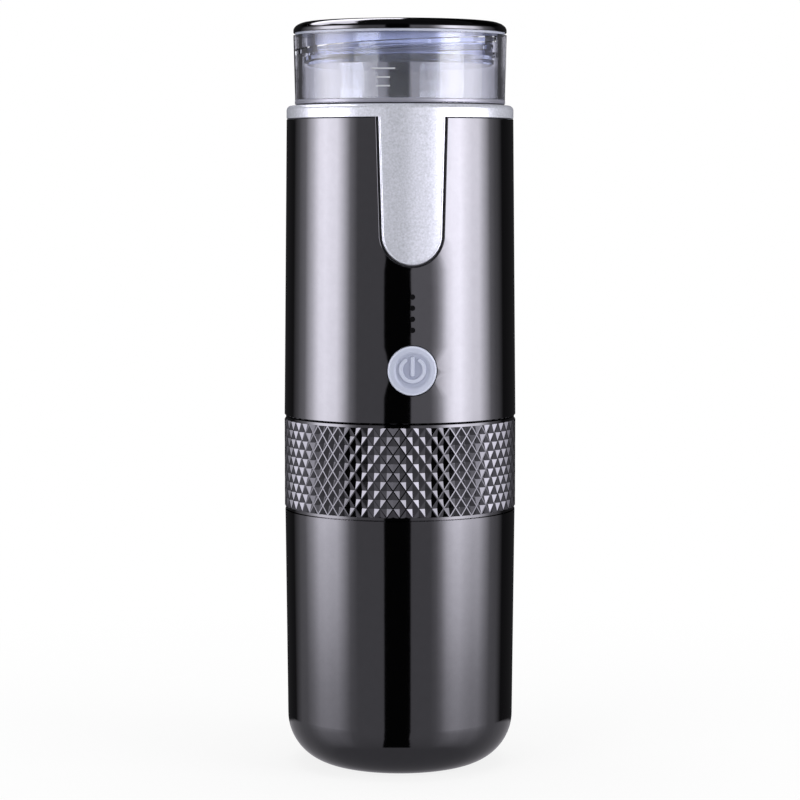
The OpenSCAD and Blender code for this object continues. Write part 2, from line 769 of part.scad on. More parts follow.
module basket_carrier() {
    color("#1b1b1e") {
        difference() {
            union() {
                translate([0, 0, ring_z - spigot_len]) cylinder(r = spigot_r, h = spigot_len);
                translate([0, 0, ring_z]) cylinder(r = rim_r, h = rim_t);
                translate([0, 0, ring_z]) cylinder(r = barrel_r, h = ring_h - rim_t);
                translate([0, 0, ring_z]) cylinder(r = neck_r, h = ring_h);
            }
            translate([0, 0, ledge_z]) cylinder(r = head_bore_r, h = ring_h);
            translate([0, 0, funnel_top_z - past]) cylinder(r = seat_hole_r, h = ring_h);
            translate([0, 0, ring_z - spigot_len - past])
                cylinder(r = spigot_in_r, h = funnel_top_z - ring_z + spigot_len + past);
            translate([0, 0, o_ring_z - o_ring_r - run_fit])
                tube(spigot_r + past, o_ring_mid_r - o_ring_r - run_fit, 2 * (o_ring_r + run_fit));
            for (i = [0:funnel_screw_count - 1])
                translate(polar(funnel_screw_reach, 360 * i / funnel_screw_count))
                    translate([0, 0, funnel_top_z - past])
                        cylinder(r = funnel_screw_r + pilot_fit, h = funnel_screw_hold + room + past);
        }
        thread(head_bore_r + rooted, carrier_ridge_tip_r, head_lead, head_ridge_sweep,
            head_ridge_z + head_pitch / 2);
    }
}

module knurled_sleeve() {
    columns = 2 * knurl_columns;
    rows = 2 * knurl_rows;
    foot = ring_z + rim_t;
    pitch = (ring_h - 2 * rim_t) / rows;
    pit_r = body_r - knurl_depth;
    outer = [for (j = [0:rows], i = [0:columns - 1])
        let (p = polar((i + j) % 2 == 0 ? pit_r : body_r, 360 * i / columns)) [p[0], p[1], foot + j * pitch]];
    inner = [for (j = [0, rows], i = [0:columns - 1])
        let (p = polar(sleeve_in_r, 360 * i / columns)) [p[0], p[1], foot + j * pitch]];
    low = (rows + 1) * columns;
    high = low + columns;
    facets = [for (j = [0:rows - 1], i = [0:columns - 1])
        let (n = (i + 1) % columns, a = j * columns + i, b = j * columns + n)
        let (c = b + columns, d = a + columns)
        each (i + j) % 2 == 0 ? [[a, d, b], [d, c, b]] : [[a, d, c], [a, c, b]]];
    bore = [for (i = [0:columns - 1]) let (n = (i + 1) % columns)
        each [[low + i, low + n, high + n], [low + i, high + n, high + i]]];
    foot_face = [for (i = [0:columns - 1]) let (n = (i + 1) % columns)
        each [[i, n, low + n], [i, low + n, low + i]]];
    top_face = [for (i = [0:columns - 1]) let (n = (i + 1) % columns, t = rows * columns)
        each [[t + i, high + n, t + n], [t + i, high + i, high + n]]];
    color("#17171a") polyhedron(concat(outer, inner), concat(facets, bore, foot_face, top_face));
}

module trim_ring() {
    color("#202024") translate([0, 0, ring_top_z - rim_t]) tube(rim_r, neck_r + run_fit, rim_t);
}

module drip_funnel() {
    cone_foot_z = funnel_cone_z - funnel_cone_h;
    spout_z = cone_foot_z - spout_len;
    color("#26262a") difference() {
        rotate_extrude() polygon([[funnel_flange_r, funnel_top_z],
            [funnel_flange_r, funnel_top_z - funnel_flange_t], [funnel_r, funnel_top_z - funnel_flange_t],
            [funnel_r, funnel_cone_z], [spout_r, cone_foot_z - funnel_wall], [spout_r - funnel_wall, spout_z],
            [spout_bore_r, spout_z], [spout_bore_r, cone_foot_z], [funnel_in_r, funnel_cone_z],
            [funnel_in_r, funnel_top_z]]);
        for (i = [0:funnel_screw_count - 1])
            translate(polar(funnel_screw_reach, 360 * i / funnel_screw_count))
                translate([0, 0, funnel_top_z - funnel_flange_t - past])
                    cylinder(r = funnel_screw_r + pilot_fit, h = funnel_flange_t + 2 * past);
    }
}

module funnel_screws() {
    for (i = [0:funnel_screw_count - 1])
        translate(polar(funnel_screw_reach, 360 * i / funnel_screw_count))
            translate([0, 0, funnel_top_z - funnel_flange_t]) mirror([0, 0, 1]) color("silver")
                screw(funnel_screw_r, funnel_screw_head_r, small_screw_head_h,
                    funnel_flange_t + funnel_screw_hold);
}

module filter_basket() {
    color("#c9ccd0") difference() {
        union() {
            translate([0, 0, basket_z]) cylinder(r = basket_r, h = basket_depth + basket_rim_t);
            translate([0, 0, ledge_z]) cylinder(r = basket_rim_r, h = basket_rim_t);
        }
        translate([0, 0, basket_z + basket_wall])
            cylinder(r = basket_in_r, h = basket_depth + 2 * basket_rim_t);
        translate([0, 0, basket_z - past]) pores(basket_wall + 2 * past);
        translate([0, 0, basket_z - past]) cylinder(r = pore_r, h = basket_wall + 2 * past);
    }
}

module brew_gasket() {
    color("#a8452f") translate([0, 0, basket_rim_z]) tube(gasket_r, gasket_in_r, gasket_t);
}

module brew_head() {
    color("#2b2b2f") {
        difference() {
            union() {
                translate([0, 0, head_z]) cylinder(r = head_core_r, h = shell_z - head_z + past);
                translate([0, 0, shell_z]) cylinder(r = head_r, h = head_flange_t);
            }
            translate([0, 0, head_z - past])
                cylinder(r = screen_r + pocket_fit, h = screen_z - head_z + screen_t + past);
            translate([0, 0, water_room_z]) tube(water_room_r, screen_boss_r, water_room_h);
            translate([0, 0, water_room_z - past])
                cylinder(r = screw_r + pilot_fit, h = screw_grip + 2 * past);
            translate([0, -outlet_y, water_room_z]) {
                cylinder(r = valve_room_r, h = valve_seat_z - water_room_z);
                cylinder(r = valve_seat_r, h = deck_z - water_room_z);
            }
            translate([0, -outlet_y, valve_seat_z + valve_seat_h])
                cylinder(r = nipple_r + pocket_fit, h = nipple_socket_h + past);
            for (p = head_screw_places) translate([p[0], p[1], deck_z - screw_grip - past])
                cylinder(r = screw_r + pilot_fit, h = screw_grip + 2 * past);
        }
        thread(head_core_r - rooted, head_ridge_tip_r, head_lead, head_ridge_sweep, head_ridge_z);
    }
}

module shower_screen() {
    color("#d5d7da") translate([0, 0, screen_z]) difference() {
        cylinder(r = screen_r, h = screen_t);
        translate([0, 0, -past]) pores(screen_t + 2 * past);
        translate([0, 0, -past]) cylinder(r = screw_r + pass_fit, h = screen_t + 2 * past);
    }
}

module screen_screw() {
    color("silver") translate([0, 0, screen_z]) mirror([0, 0, 1])
        screw(screw_r, screw_head_r, screw_head_h, screen_t + screw_grip);
}

module valve_ball() {
    color("#e4e6e8") translate([0, -outlet_y, valve_ball_z]) sphere(valve_ball_r);
}

module valve_spring() {
    steps = spring_turns * spring_steps;
    low = spring_z + spring_wire_r;
    rise = spring_top_z - 2 * spring_wire_r - spring_z;
    points = [for (i = [0:steps], j = [0:spring_sides - 1])
        let (a = 360 * i / spring_steps, b = 360 * j / spring_sides, r = spring_r + spring_wire_r * cos(b))
        [r * cos(a), r * sin(a), low + rise * i / steps + spring_wire_r * sin(b)]];
    sides = [for (i = [0:steps - 1], j = [0:spring_sides - 1])
        let (a = spring_sides * i + j, b = spring_sides * i + (j + 1) % spring_sides)
        each [[a, b, b + spring_sides], [a, b + spring_sides, a + spring_sides]]];
    last = spring_sides * steps;
    ends = [for (j = [1:spring_sides - 2]) each [[0, j + 1, j], [last, last + j, last + j + 1]]];
    color("silver") translate([0, -outlet_y, 0]) polyhedron(points, concat(sides, ends));
}

module valve_retainer() {
    color("#b58a3c") translate([0, -outlet_y, valve_retainer_z])
        tube(valve_room_r - run_fit, valve_seat_r, retainer_t);
}

module head_screws() {
    for (p = head_screw_places) translate([p[0], p[1], deck_top_z]) color("silver")
        screw(screw_r, screw_head_r, screw_head_h, deck_t + screw_grip);
}

module lower_frame() {
    color("#5b5f66") difference() {
        union() {
            translate([0, 0, deck_z]) cylinder(r = deck_r, h = deck_t);
            for (a = post_angles) translate(polar(post_reach, a)) translate([0, 0, deck_z])
                cylinder(r = post_r, h = upper_frame_z - deck_z);
            for (p = pump_screw_places) translate([p[0], p[1], deck_z])
                cylinder(r = standoff_r, h = deck_t + standoff_h);
            for (p = cell_places) translate([p[0], p[1], deck_z])
                tube(cell_d / 2 + room + cell_cup_wall, cell_d / 2 + room, deck_t + cell_cup_h);
            for (x = [-board_w / 2 + rail_lap - rail_w, board_w / 2 - rail_lap])
                translate([x, -board_y - rail_lip, deck_z])
                    cube([rail_w, board_t + 2 * rail_lip, deck_t + rail_h]);
            translate([-charge_foot_w / 2, charge_board_y - charge_board_t - charge_foot_lip, deck_z])
                cube([charge_foot_w, charge_board_t + 2 * charge_foot_lip, deck_t + charge_foot_h]);
        }
        for (p = head_screw_places) translate([p[0], p[1], deck_z - past])
            cylinder(r = screw_r + pass_fit, h = deck_t + 2 * past);
        for (a = post_angles) translate(polar(post_reach, a))
            translate([0, 0, upper_frame_z - screw_grip - past])
                cylinder(r = screw_r + pilot_fit, h = screw_grip + 2 * past);
        for (p = pump_screw_places) translate([p[0], p[1], deck_z + past])
            cylinder(r = small_screw_r + pilot_fit, h = deck_t + standoff_h);
        translate([0, -outlet_y, deck_z - past])
            cylinder(r = nipple_r + pass_fit, h = deck_t + standoff_h + 2 * past);
        cell_tab(0, 1, deck_top_z, room);
        translate([-board_w / 2 - pocket_fit, -board_y - pocket_fit, board_z])
            cube([board_w + 2 * pocket_fit, board_t + 2 * pocket_fit, board_h]);
        translate([-charge_board_w / 2, charge_board_y - charge_board_t - pocket_fit, charge_board_z])
            cube([charge_board_w, charge_board_t + 2 * pocket_fit, charge_board_h]);
    }
}

module upper_frame() {
    color("#5b5f66") difference() {
        translate([0, 0, upper_frame_z]) cylinder(r = liner_r, h = upper_frame_t);
        for (a = post_angles) translate(polar(post_reach, a)) translate([0, 0, upper_frame_z - past]) {
            cylinder(r = screw_r + pass_fit, h = upper_frame_t + 2 * past);
            translate([0, 0, upper_frame_t - screw_head_h + past])
                cylinder(r = screw_head_r + pass_fit, h = screw_head_h + past);
        }
        translate([inlet_x, -inlet_y, upper_frame_z - past])
            cylinder(r = tube_nipple_r + pass_fit, h = upper_frame_t + 2 * past);
        translate([sensor_x, -sensor_y, upper_frame_z - past])
            cylinder(r = sensor_r + pass_fit, h = upper_frame_t + 2 * past);
        tongue_layer(tongue_backing + room, -past, shell_wall + liner_wall + room);
    }
}

module frame_screws() {
    for (a = post_angles) translate(polar(post_reach, a))
        translate([0, 0, upper_frame_top_z - screw_head_h]) color("silver")
            screw(screw_r, screw_head_r, screw_head_h, upper_frame_t - screw_head_h + screw_grip);
}

module battery_cell_1() { cell(0); }
module battery_cell_2() { cell(1); }
module battery_cell_3() { cell(2); }
module cell_tab_lower() { color("silver") cell_tab(0, 1, deck_top_z, 0); }
module cell_tab_upper() { color("silver") cell_tab(1, 2, upper_frame_z - tab_t, 0); }

module control_board() {
    color("#1f5c3a") translate([-board_w / 2, -board_y, board_z]) cube([board_w, board_t, board_h]);
}

module board_chips() {
    chip_t = 1;
    chip_side = 5;
    chip_x = 6.5;
    for (s = [-1, 1], z = [button_z + 2 * chip_side, light_z + 2 * chip_side])
        translate([s * chip_x - chip_side / 2, -board_y - chip_t, z - chip_side / 2])
            color("#222226") cube([chip_side, chip_t, chip_side]);
}

module indicator_lamps() {
    for (i = [0:light_count - 1])
        translate([-lamp_w / 2, -board_y - lamp_t, light_z + i * light_pitch - lamp_h / 2])
            color("white") cube([lamp_w, lamp_t, lamp_h]);
}

module light_guide() {
    span = (light_count - 1) * light_pitch;
    color("#e8eef2") {
        translate([-guide_w / 2, -guide_y, light_z - guide_margin])
            cube([guide_w, guide_t, span + 2 * guide_margin]);
        for (i = [0:light_count - 1]) let (z = light_z + i * light_pitch)
            translate([0, 0, z]) front_cylinder(light_rod_r, board_y + lamp_t + run_fit, shell_r(z));
    }
}

module tact_switch() {
    color("#3a3a40") difference() {
        translate([-switch_side / 2, -switch_y, button_z - switch_side / 2])
            cube([switch_side, switch_t, switch_side]);
        translate([0, 0, button_z])
            front_cylinder(plunger_r + run_fit, switch_y - switch_bore_h, switch_y + past);
    }
}

module switch_plunger() {
    color("#c8b070") translate([0, 0, button_z])
        front_cylinder(plunger_r, switch_y - plunger_in, button_back_y);
}

module power_button() {
    face_r = shell_r(button_z) + button_proud;
    color("#c9cbcc") {
        intersection() {
            translate([0, 0, button_z]) front_cylinder(button_r, button_back_y, face_r + past);
            translate([0, 0, button_z - button_d]) cylinder(r = face_r, h = 2 * button_d);
        }
        translate([0, 0, button_z]) front_cylinder(button_flange_r, button_back_y, button_flange_y);
        intersection() {
            translate([0, 0, button_z]) rotate([90, 0, 0]) linear_extrude(face_r + past) power_symbol();
            translate([0, 0, button_z - button_d]) tube(face_r + symbol_h, face_r - symbol_h, 2 * button_d);
            translate([0, 0, button_z]) front_cylinder(button_r, button_back_y, face_r + past);
        }
    }
}

module charge_board() {
    color("#1f5c3a") translate([-charge_board_w / 2, charge_board_y - charge_board_t, charge_board_z])
        cube([charge_board_w, charge_board_t, charge_board_h]);
}

// Section of the socket: a slot with round ends, grown by a margin
module usb_outline(margin) {
    r = usb_t / 2 + margin;
    half = (usb_w - usb_t) / 2;
    for (s = [-1, 1]) translate([s * half, 0]) circle(r, $fn = 32);
    translate([-half, -r]) square([2 * half, 2 * r]);
}

module usb_c_socket() {
    tongue_w = 6.69;
    tongue_t = 0.7;
    tongue_back = 1.5;
    color("#b9bcc0") translate([0, charge_board_y, usb_z]) rotate([90, 0, 180]) {
        difference() {
            linear_extrude(usb_len) usb_outline(0);
            translate([0, 0, usb_sheet]) linear_extrude(usb_len) usb_outline(-usb_sheet);
        }
        translate([-tongue_w / 2, -tongue_t / 2, 0]) cube([tongue_w, tongue_t, usb_len - tongue_back]);
    }
}

module gear_pair(r, z, h) {
    for (s = [-1, 1]) translate([s * gear_x, -gear_y, z]) cylinder(r = r, h = h);
}

// Outside of the pump: two round ends and the web between them
module pump_block(z, h) {
    gear_pair(pump_r, z, h);
    translate([-gear_x, -gear_y - pump_r, z]) cube([2 * gear_x, 2 * pump_r, h]);
}

module pump_screw_holes(r, z, h) {
    for (p = pump_screw_places) translate([p[0], p[1], z]) cylinder(r = r, h = h);
}

module pump_cover() {
    color("#8b8f96") difference() {
        pump_block(pump_z, pump_cover_t);
        pump_screw_holes(small_screw_r + pass_fit, pump_z - past, pump_cover_t + 2 * past);
        translate([0, -outlet_y, pump_z - past]) cylinder(r = nipple_bore_r, h = pump_cover_t + 2 * past);
        translate([gear_x, -gear_y, gear_room_z - axle_hold])
            cylinder(r = shaft_r + press_fit, h = axle_hold + past);
    }
}

module pump_body() {
    inlet = [inlet_x, -inlet_y, 0];
    port = [0, -gear_y + gear_room_r, 0];
    way = inlet - port;
    seat_r = motor_r + pocket_fit;
    color("#8b8f96") {
        difference() {
            union() {
                pump_block(gear_room_z, gear_room_h + pump_roof_t);
                translate([inlet_x, -inlet_y, gear_room_z])
                    cylinder(r = inlet_boss_r, h = motor_z - gear_room_z);
                translate([-gear_x, -gear_y, pump_roof_z])
                    cylinder(r = seat_r + motor_seat_wall, h = pump_roof_t + motor_seat_h);
            }
            translate([-gear_x, -gear_y, motor_z]) cylinder(r = seat_r, h = motor_seat_h + past);
            gear_pair(gear_room_r, gear_room_z - past, gear_room_h + past);
            for (s = [-1, 1]) translate([0, -gear_y + s * gear_room_r, gear_room_z - past])
                cylinder(r = port_r, h = gear_room_h + past);
            translate(port + [0, 0, passage_z]) rotate(atan2(way[1], way[0])) rotate([0, 90, 0])
                cylinder(r = passage_r, h = norm(way) + tube_nipple_bore_r + room);
            translate([inlet_x, -inlet_y, passage_z]) cylinder(r = tube_nipple_bore_r, h = motor_z);
            translate([-gear_x, -gear_y, pump_roof_z - past])
                cylinder(r = shaft_r + run_fit, h = pump_roof_t + 2 * past);
            translate([gear_x, -gear_y, pump_roof_z - past])
                cylinder(r = shaft_r + press_fit, h = axle_hold + past);
            pump_screw_holes(small_screw_r + pass_fit, gear_room_z - past, motor_z - gear_room_z + 2 * past);
            pump_screw_holes(small_screw_head_r + pocket_fit, pump_screw_head_z,
                small_screw_head_h + motor_seat_h + past);
        }
        translate([inlet_x, -inlet_y, motor_z]) tube(tube_nipple_r, tube_nipple_bore_r, tube_grip);
    }
}

module drive_gear() {
    color("#c9b27a") translate([-gear_x, -gear_y, gear_room_z + run_fit])
        gear(-90 / gear_teeth, shaft_r + press_fit);
}

module idler_gear() {
    color("#c9b27a") translate([gear_x, -gear_y, gear_room_z + run_fit])
        gear(180 - 270 / gear_teeth, shaft_r + run_fit);
}

module idler_axle() {
    color("silver") translate([gear_x, -gear_y, gear_room_z - axle_hold])
        cylinder(r = shaft_r, h = gear_room_h + 2 * axle_hold);
}

module pump_screws() {
    color("silver") for (p = pump_screw_places) translate([p[0], p[1], pump_screw_head_z])
        screw(small_screw_r, small_screw_head_r, small_screw_head_h, pump_screw_head_z - deck_top_z);
}

module motor_can() {
    color("#b4b7bb") translate([-gear_x, -gear_y, motor_z]) difference() {
        cylinder(r = motor_r, h = motor_len);
        translate([0, 0, motor_wall]) cylinder(r = motor_r - motor_wall, h = motor_len);
        translate([0, 0, -past]) cylinder(r = shaft_r + run_fit, h = motor_len);
    }
}

module motor_magnets() {
    r = motor_r - motor_wall - press_fit;
    for (s = [0, 180]) translate([-gear_x, -gear_y, motor_z + rotor_margin]) rotate(s - magnet_sweep / 2)
        color("#4a4a50") rotate_extrude(angle = magnet_sweep) translate([r - magnet_t, 0])
            square([magnet_t, motor_len - 2 * rotor_margin]);
}

module motor_rotor() {
    color("#a5662e") translate([-gear_x, -gear_y, motor_z + rotor_margin])
        tube(rotor_r, shaft_r + press_fit, motor_len - 2 * rotor_margin);
}

module motor_shaft() {
    color("silver") translate([-gear_x, -gear_y, gear_room_z + run_fit])
        cylinder(r = shaft_r, h = motor_z + motor_len + past - gear_room_z);
}

module motor_end_cap() {
    color("#34343a") translate([-gear_x, -gear_y, motor_z + motor_len - end_cap_t])
        tube(motor_r - motor_wall - run_fit, shaft_r + run_fit, end_cap_t);
}

module outlet_nipple() {
    foot_z = valve_seat_z + valve_seat_h;
    color("#b58a3c") translate([0, -outlet_y, foot_z]) tube(nipple_r, nipple_bore_r, pump_z - foot_z);
}

module inlet_tube() {
    color("#dfe3e6") translate([inlet_x, -inlet_y, tube_z])
        tube(tube_r, tube_nipple_r + run_fit, tube_top_z - tube_z);
}

module heater_pot() {
    color("#c9ccd0") difference() {
        union() {
            translate([0, 0, pot_z]) cylinder(r = pot_r, h = pot_h);
            translate([inlet_x, -inlet_y, tube_top_z - tube_grip])
                cylinder(r = tube_nipple_r, h = pot_z - tube_top_z + tube_grip + pot_wall);
        }
        translate([0, 0, pot_z + pot_wall]) cylinder(r = pot_r - pot_wall, h = pot_h);
        translate([inlet_x, -inlet_y, tube_top_z - tube_grip - past])
            cylinder(r = tube_nipple_bore_r, h = pot_h + pot_z - tube_top_z + tube_grip);
    }
}

module heater_plate() {
    color("#7d4f3a") translate([0, 0, pot_z - heater_t]) difference() {
        cylinder(r = heater_r, h = heater_t);
        translate([inlet_x, -inlet_y, -past]) cylinder(r = tube_nipple_r + pass_fit, h = heater_t + 2 * past);
    }
}

module pot_support() {
    color("#d8d3c4") translate([0, 0, upper_frame_top_z]) tube(pot_r, pot_r - pot_support_w, pot_support_t);
}

module pot_gasket() {
    color("#a8452f") translate([0, 0, pot_gasket_z]) tube(pot_r, skirt_in_r, pot_gasket_t);
}

module temperature_sensor() {
    top = pot_z - heater_t;
    color("#d0b060") translate([sensor_x, -sensor_y, 0]) {
        translate([0, 0, upper_frame_z - sensor_flange_t - sensor_tail])
            cylinder(r = sensor_r, h = top - upper_frame_z + sensor_flange_t + sensor_tail);
        translate([0, 0, upper_frame_z - sensor_flange_t])
            cylinder(r = sensor_r + sensor_flange_w, h = sensor_flange_t);
    }
}

module upper_shell() {
    color("#0c0c0e") difference() {
        union() {
            translate([0, 0, shell_z]) rotate_extrude()
                casing_section(body_r, shell_top_r, shell_h, shell_wall);
            translate([0, 0, deck_z])
                tube(shell_r(deck_z) - shell_wall / 2, deck_r + inner_room, shell_rib_h);
        }
        tongue_sides(tongue_gap);
        tongue_end(tongue_gap);
        tongue_layer(tongue_gap + slot_rebate_w, -past, slot_rebate_h);
        translate([0, 0, button_z]) front_cylinder(button_r + button_gap, 0, body_r + past);
        for (i = [0:light_count - 1]) translate([0, 0, light_z + i * light_pitch])
            front_cylinder(light_d / 2, 0, body_r + past);
        translate([0, 0, usb_z]) rotate([90, 0, 180]) linear_extrude(body_r + past) usb_outline(usb_gap);
    }
}

module silver_collar() {
    color("#b9bbbf") {
        translate([0, 0, shell_top_z]) rotate_extrude()
            rounded_section(liner_in_r, shell_top_r, collar_h, collar_edge_r);
        translate([0, 0, upper_frame_top_z])
            tube(liner_r, liner_in_r, shell_top_z - upper_frame_top_z + past);
        tongue_layer(0, 0, shell_wall + liner_wall);
        tongue_layer(tongue_backing, shell_wall + room, shell_wall + liner_wall);
    }
}

module water_tank() {
    color("#dfe9ee", 0.4) {
        difference() {
            union() {
                translate([0, 0, tank_z]) cylinder(r1 = tank_foot_r, r2 = tank_rim_r, h = tank_h);
                translate([0, 0, skirt_z]) cylinder(r = skirt_r, h = tank_z - skirt_z + past);
            }
            translate([0, 0, tank_z + tank_shoulder_t]) cylinder(r = tank_bore_r, h = tank_h);
            translate([0, 0, skirt_z - past]) cylinder(r = skirt_in_r, h = tank_z - skirt_z + tank_h);
        }
        thread(tank_bore_r + rooted, tank_ridge_tip_r, lid_lead, lid_ridge_sweep,
            plug_ridge_z + lid_pitch / 2);
    }
}

module tank_seal() {
    color("#26262a") translate([0, 0, collar_top_z]) tube(tank_foot_r - room, liner_in_r, tank_seal_t);
}

module lid_cap() {
    color("#0c0c0e") {
        translate([0, 0, lid_z]) rotate_extrude() rounded_section(0, lid_r, lid_t, lid_edge_r);
        translate([0, 0, lid_z - cap_boss_h]) cylinder(r = plug_in_r - pocket_fit, h = cap_boss_h + past);
    }
}

module lid_plug() {
    color("#cfe0ea", 0.5) {
        translate([0, 0, plug_z]) difference() {
            cylinder(r = plug_r, h = plug_h);
            translate([0, 0, plug_floor]) cylinder(r = plug_in_r, h = plug_h);
        }
        thread(plug_r - rooted, plug_ridge_tip_r, lid_lead, lid_ridge_sweep, plug_ridge_z);
    }
}

module lid_seal() {
    color("#cfd3d6") translate([0, 0, tank_rim_z]) tube(lid_seal_r, lid_seal_in_r, lid_seal_t);
}

coffee_cup();
cup_o_ring();
basket_carrier();
knurled_sleeve();
trim_ring();
drip_funnel();
funnel_screws();
filter_basket();
brew_gasket();
brew_head();
shower_screen();
screen_screw();
valve_ball();
valve_spring();
valve_retainer();
head_screws();
lower_frame();
upper_frame();
frame_screws();
battery_cell_1();
battery_cell_2();
battery_cell_3();
cell_tab_lower();
cell_tab_upper();
control_board();
board_chips();
indicator_lamps();
light_guide();
tact_switch();
switch_plunger();
power_button();
charge_board();
usb_c_socket();
pump_cover();
pump_body();
drive_gear();
idler_gear();
idler_axle();
pump_screws();
motor_can();
motor_magnets();
motor_rotor();
motor_shaft();
motor_end_cap();
outlet_nipple();
inlet_tube();
heater_pot();
heater_plate();
pot_support();
pot_gasket();
temperature_sensor();
upper_shell();
silver_collar();
water_tank();
tank_seal();
lid_cap();
lid_plug();
lid_seal();
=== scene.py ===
import bpy
import json
import math
import numpy as np
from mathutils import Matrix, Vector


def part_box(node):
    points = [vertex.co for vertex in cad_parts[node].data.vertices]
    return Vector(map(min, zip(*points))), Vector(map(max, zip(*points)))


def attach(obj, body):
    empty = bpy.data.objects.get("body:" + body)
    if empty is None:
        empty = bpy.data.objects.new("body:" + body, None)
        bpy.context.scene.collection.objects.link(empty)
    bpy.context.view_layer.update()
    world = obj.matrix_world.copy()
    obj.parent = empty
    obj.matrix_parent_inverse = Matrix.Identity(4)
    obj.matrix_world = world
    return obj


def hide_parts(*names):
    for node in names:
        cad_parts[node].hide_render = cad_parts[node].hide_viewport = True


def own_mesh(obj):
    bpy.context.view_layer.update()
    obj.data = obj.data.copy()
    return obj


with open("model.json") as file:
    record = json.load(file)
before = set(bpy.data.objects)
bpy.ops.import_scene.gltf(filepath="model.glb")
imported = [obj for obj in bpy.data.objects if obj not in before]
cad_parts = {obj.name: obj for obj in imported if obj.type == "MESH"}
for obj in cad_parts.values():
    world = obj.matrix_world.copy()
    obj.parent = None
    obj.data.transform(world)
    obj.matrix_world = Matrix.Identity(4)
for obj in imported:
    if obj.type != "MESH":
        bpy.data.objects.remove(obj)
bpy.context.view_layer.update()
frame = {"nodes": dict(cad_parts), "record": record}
nodes = frame["nodes"]
scene = bpy.context.scene
scene.view_settings.view_transform = "Standard"
print("frame loaded:", len(nodes), "nodes")

# camera at the photograph's angle, a long lens a little above the button
shot = {"azimuth": -6.0, "distance": 0.832, "height": 0.1801, "pitch": -4.787, "lens": 123.8, "sensor": 36.0,
        "clip": (0.01, 20.0)}
lensData = bpy.data.cameras.new("camera")
lensData.lens, lensData.sensor_width = shot["lens"], shot["sensor"]
lensData.clip_start, lensData.clip_end = shot["clip"]
camera = bpy.data.objects.new("camera", lensData)
scene.collection.objects.link(camera)
turn = math.radians(shot["azimuth"])
camera.location = (shot["distance"] * math.sin(turn), -shot["distance"] * math.cos(turn), shot["height"])
camera.rotation_euler = (math.radians(90 + shot["pitch"]), 0, turn)
scene.camera = camera


def linear(hexColour):  # sRGB hex to linear red, green, blue, alpha
    c = np.array([int(hexColour[i:i + 2], 16) for i in (1, 3, 5)]) / 255
    c = np.where(c <= 0.04045, c / 12.92, ((c + 0.055) / 1.055) ** 2.4)
    return (*c.tolist(), 1.0)


def fromTable(table, at, **outside):  # values between the rows of a table of places and values
    return np.interp(at, *np.array(table).T, **outside)


def emptyTree(owner):  # the node tree of a material or world, cleared
    owner.use_nodes = True
    owner.node_tree.nodes.clear()
    return owner.node_tree


def add(tree, kind, settings=None, links=None):  # one node; settings by input name or attribute, links by input
    node = tree.nodes.new(kind)
    for key, value in (settings or {}).items():
        if isinstance(key, int) or key in node.inputs:
            node.inputs[key].default_value = value
        else:
            setattr(node, key, value)
    for key, source in (links or {}).items():
        tree.links.new(source, node.inputs[key])
    return node


def putMesh(name, points, faces, smooth=True, crease=None):  # one object; edges above the crease angle stay sharp
    mesh = bpy.data.meshes.new(name)
    corners = np.asarray(points).reshape(-1, 3).tolist()
    mesh.from_pydata(corners, [], [tuple(int(i) for i in f) for f in faces])
    mesh.polygons.foreach_set("use_smooth", np.full(len(mesh.polygons), smooth))
    if crease:
        mesh.set_sharp_from_angle(angle=math.radians(crease))
    mesh.update()
    piece = bpy.data.objects.new(name, mesh)
    scene.collection.objects.link(piece)
    return piece


def putValues(piece, name, values):  # one number for each point, for a material to read
    layer = piece.data.attributes.new(name, "FLOAT", "POINT")
    layer.data.foreach_set("value", np.ravel(values).astype(np.float32))


def hideFrom(piece, *rays):
    for ray in rays:
        setattr(piece, "visible_" + ray, False)


def gridFaces(rows, columns, closed=False):  # quads of a grid; where closed, its last column joins its first
    r, c = np.meshgrid(np.arange(rows - 1), np.arange(columns if closed else columns - 1), indexing="ij")
    n = (c + 1) % columns
    corners = [r * columns + c, r * columns + n, (r + 1) * columns + n, (r + 1) * columns + c]
    return np.stack(corners, -1).reshape(-1, 4)


def sweepFaces(rows, columns):  # a closed outline carried along some rows, with a cap at each end, facing outwards
    ring = np.arange(columns)
    faces = (*gridFaces(rows, columns, closed=True), ring[::-1], (rows - 1) * columns + ring)
    return [face[::-1] for face in faces]


def poleFaces(rows, columns):  # a closed grid with a fan at each end to one point; both points come after the grid's
    c = np.arange(columns)
    n = (c + 1) % columns
    last = (rows - 1) * columns
    return [*gridFaces(rows, columns, closed=True), *np.stack([np.full(columns, rows * columns), n, c], -1),
            *np.stack([last + c, last + n, np.full(columns, rows * columns + 1)], -1)]


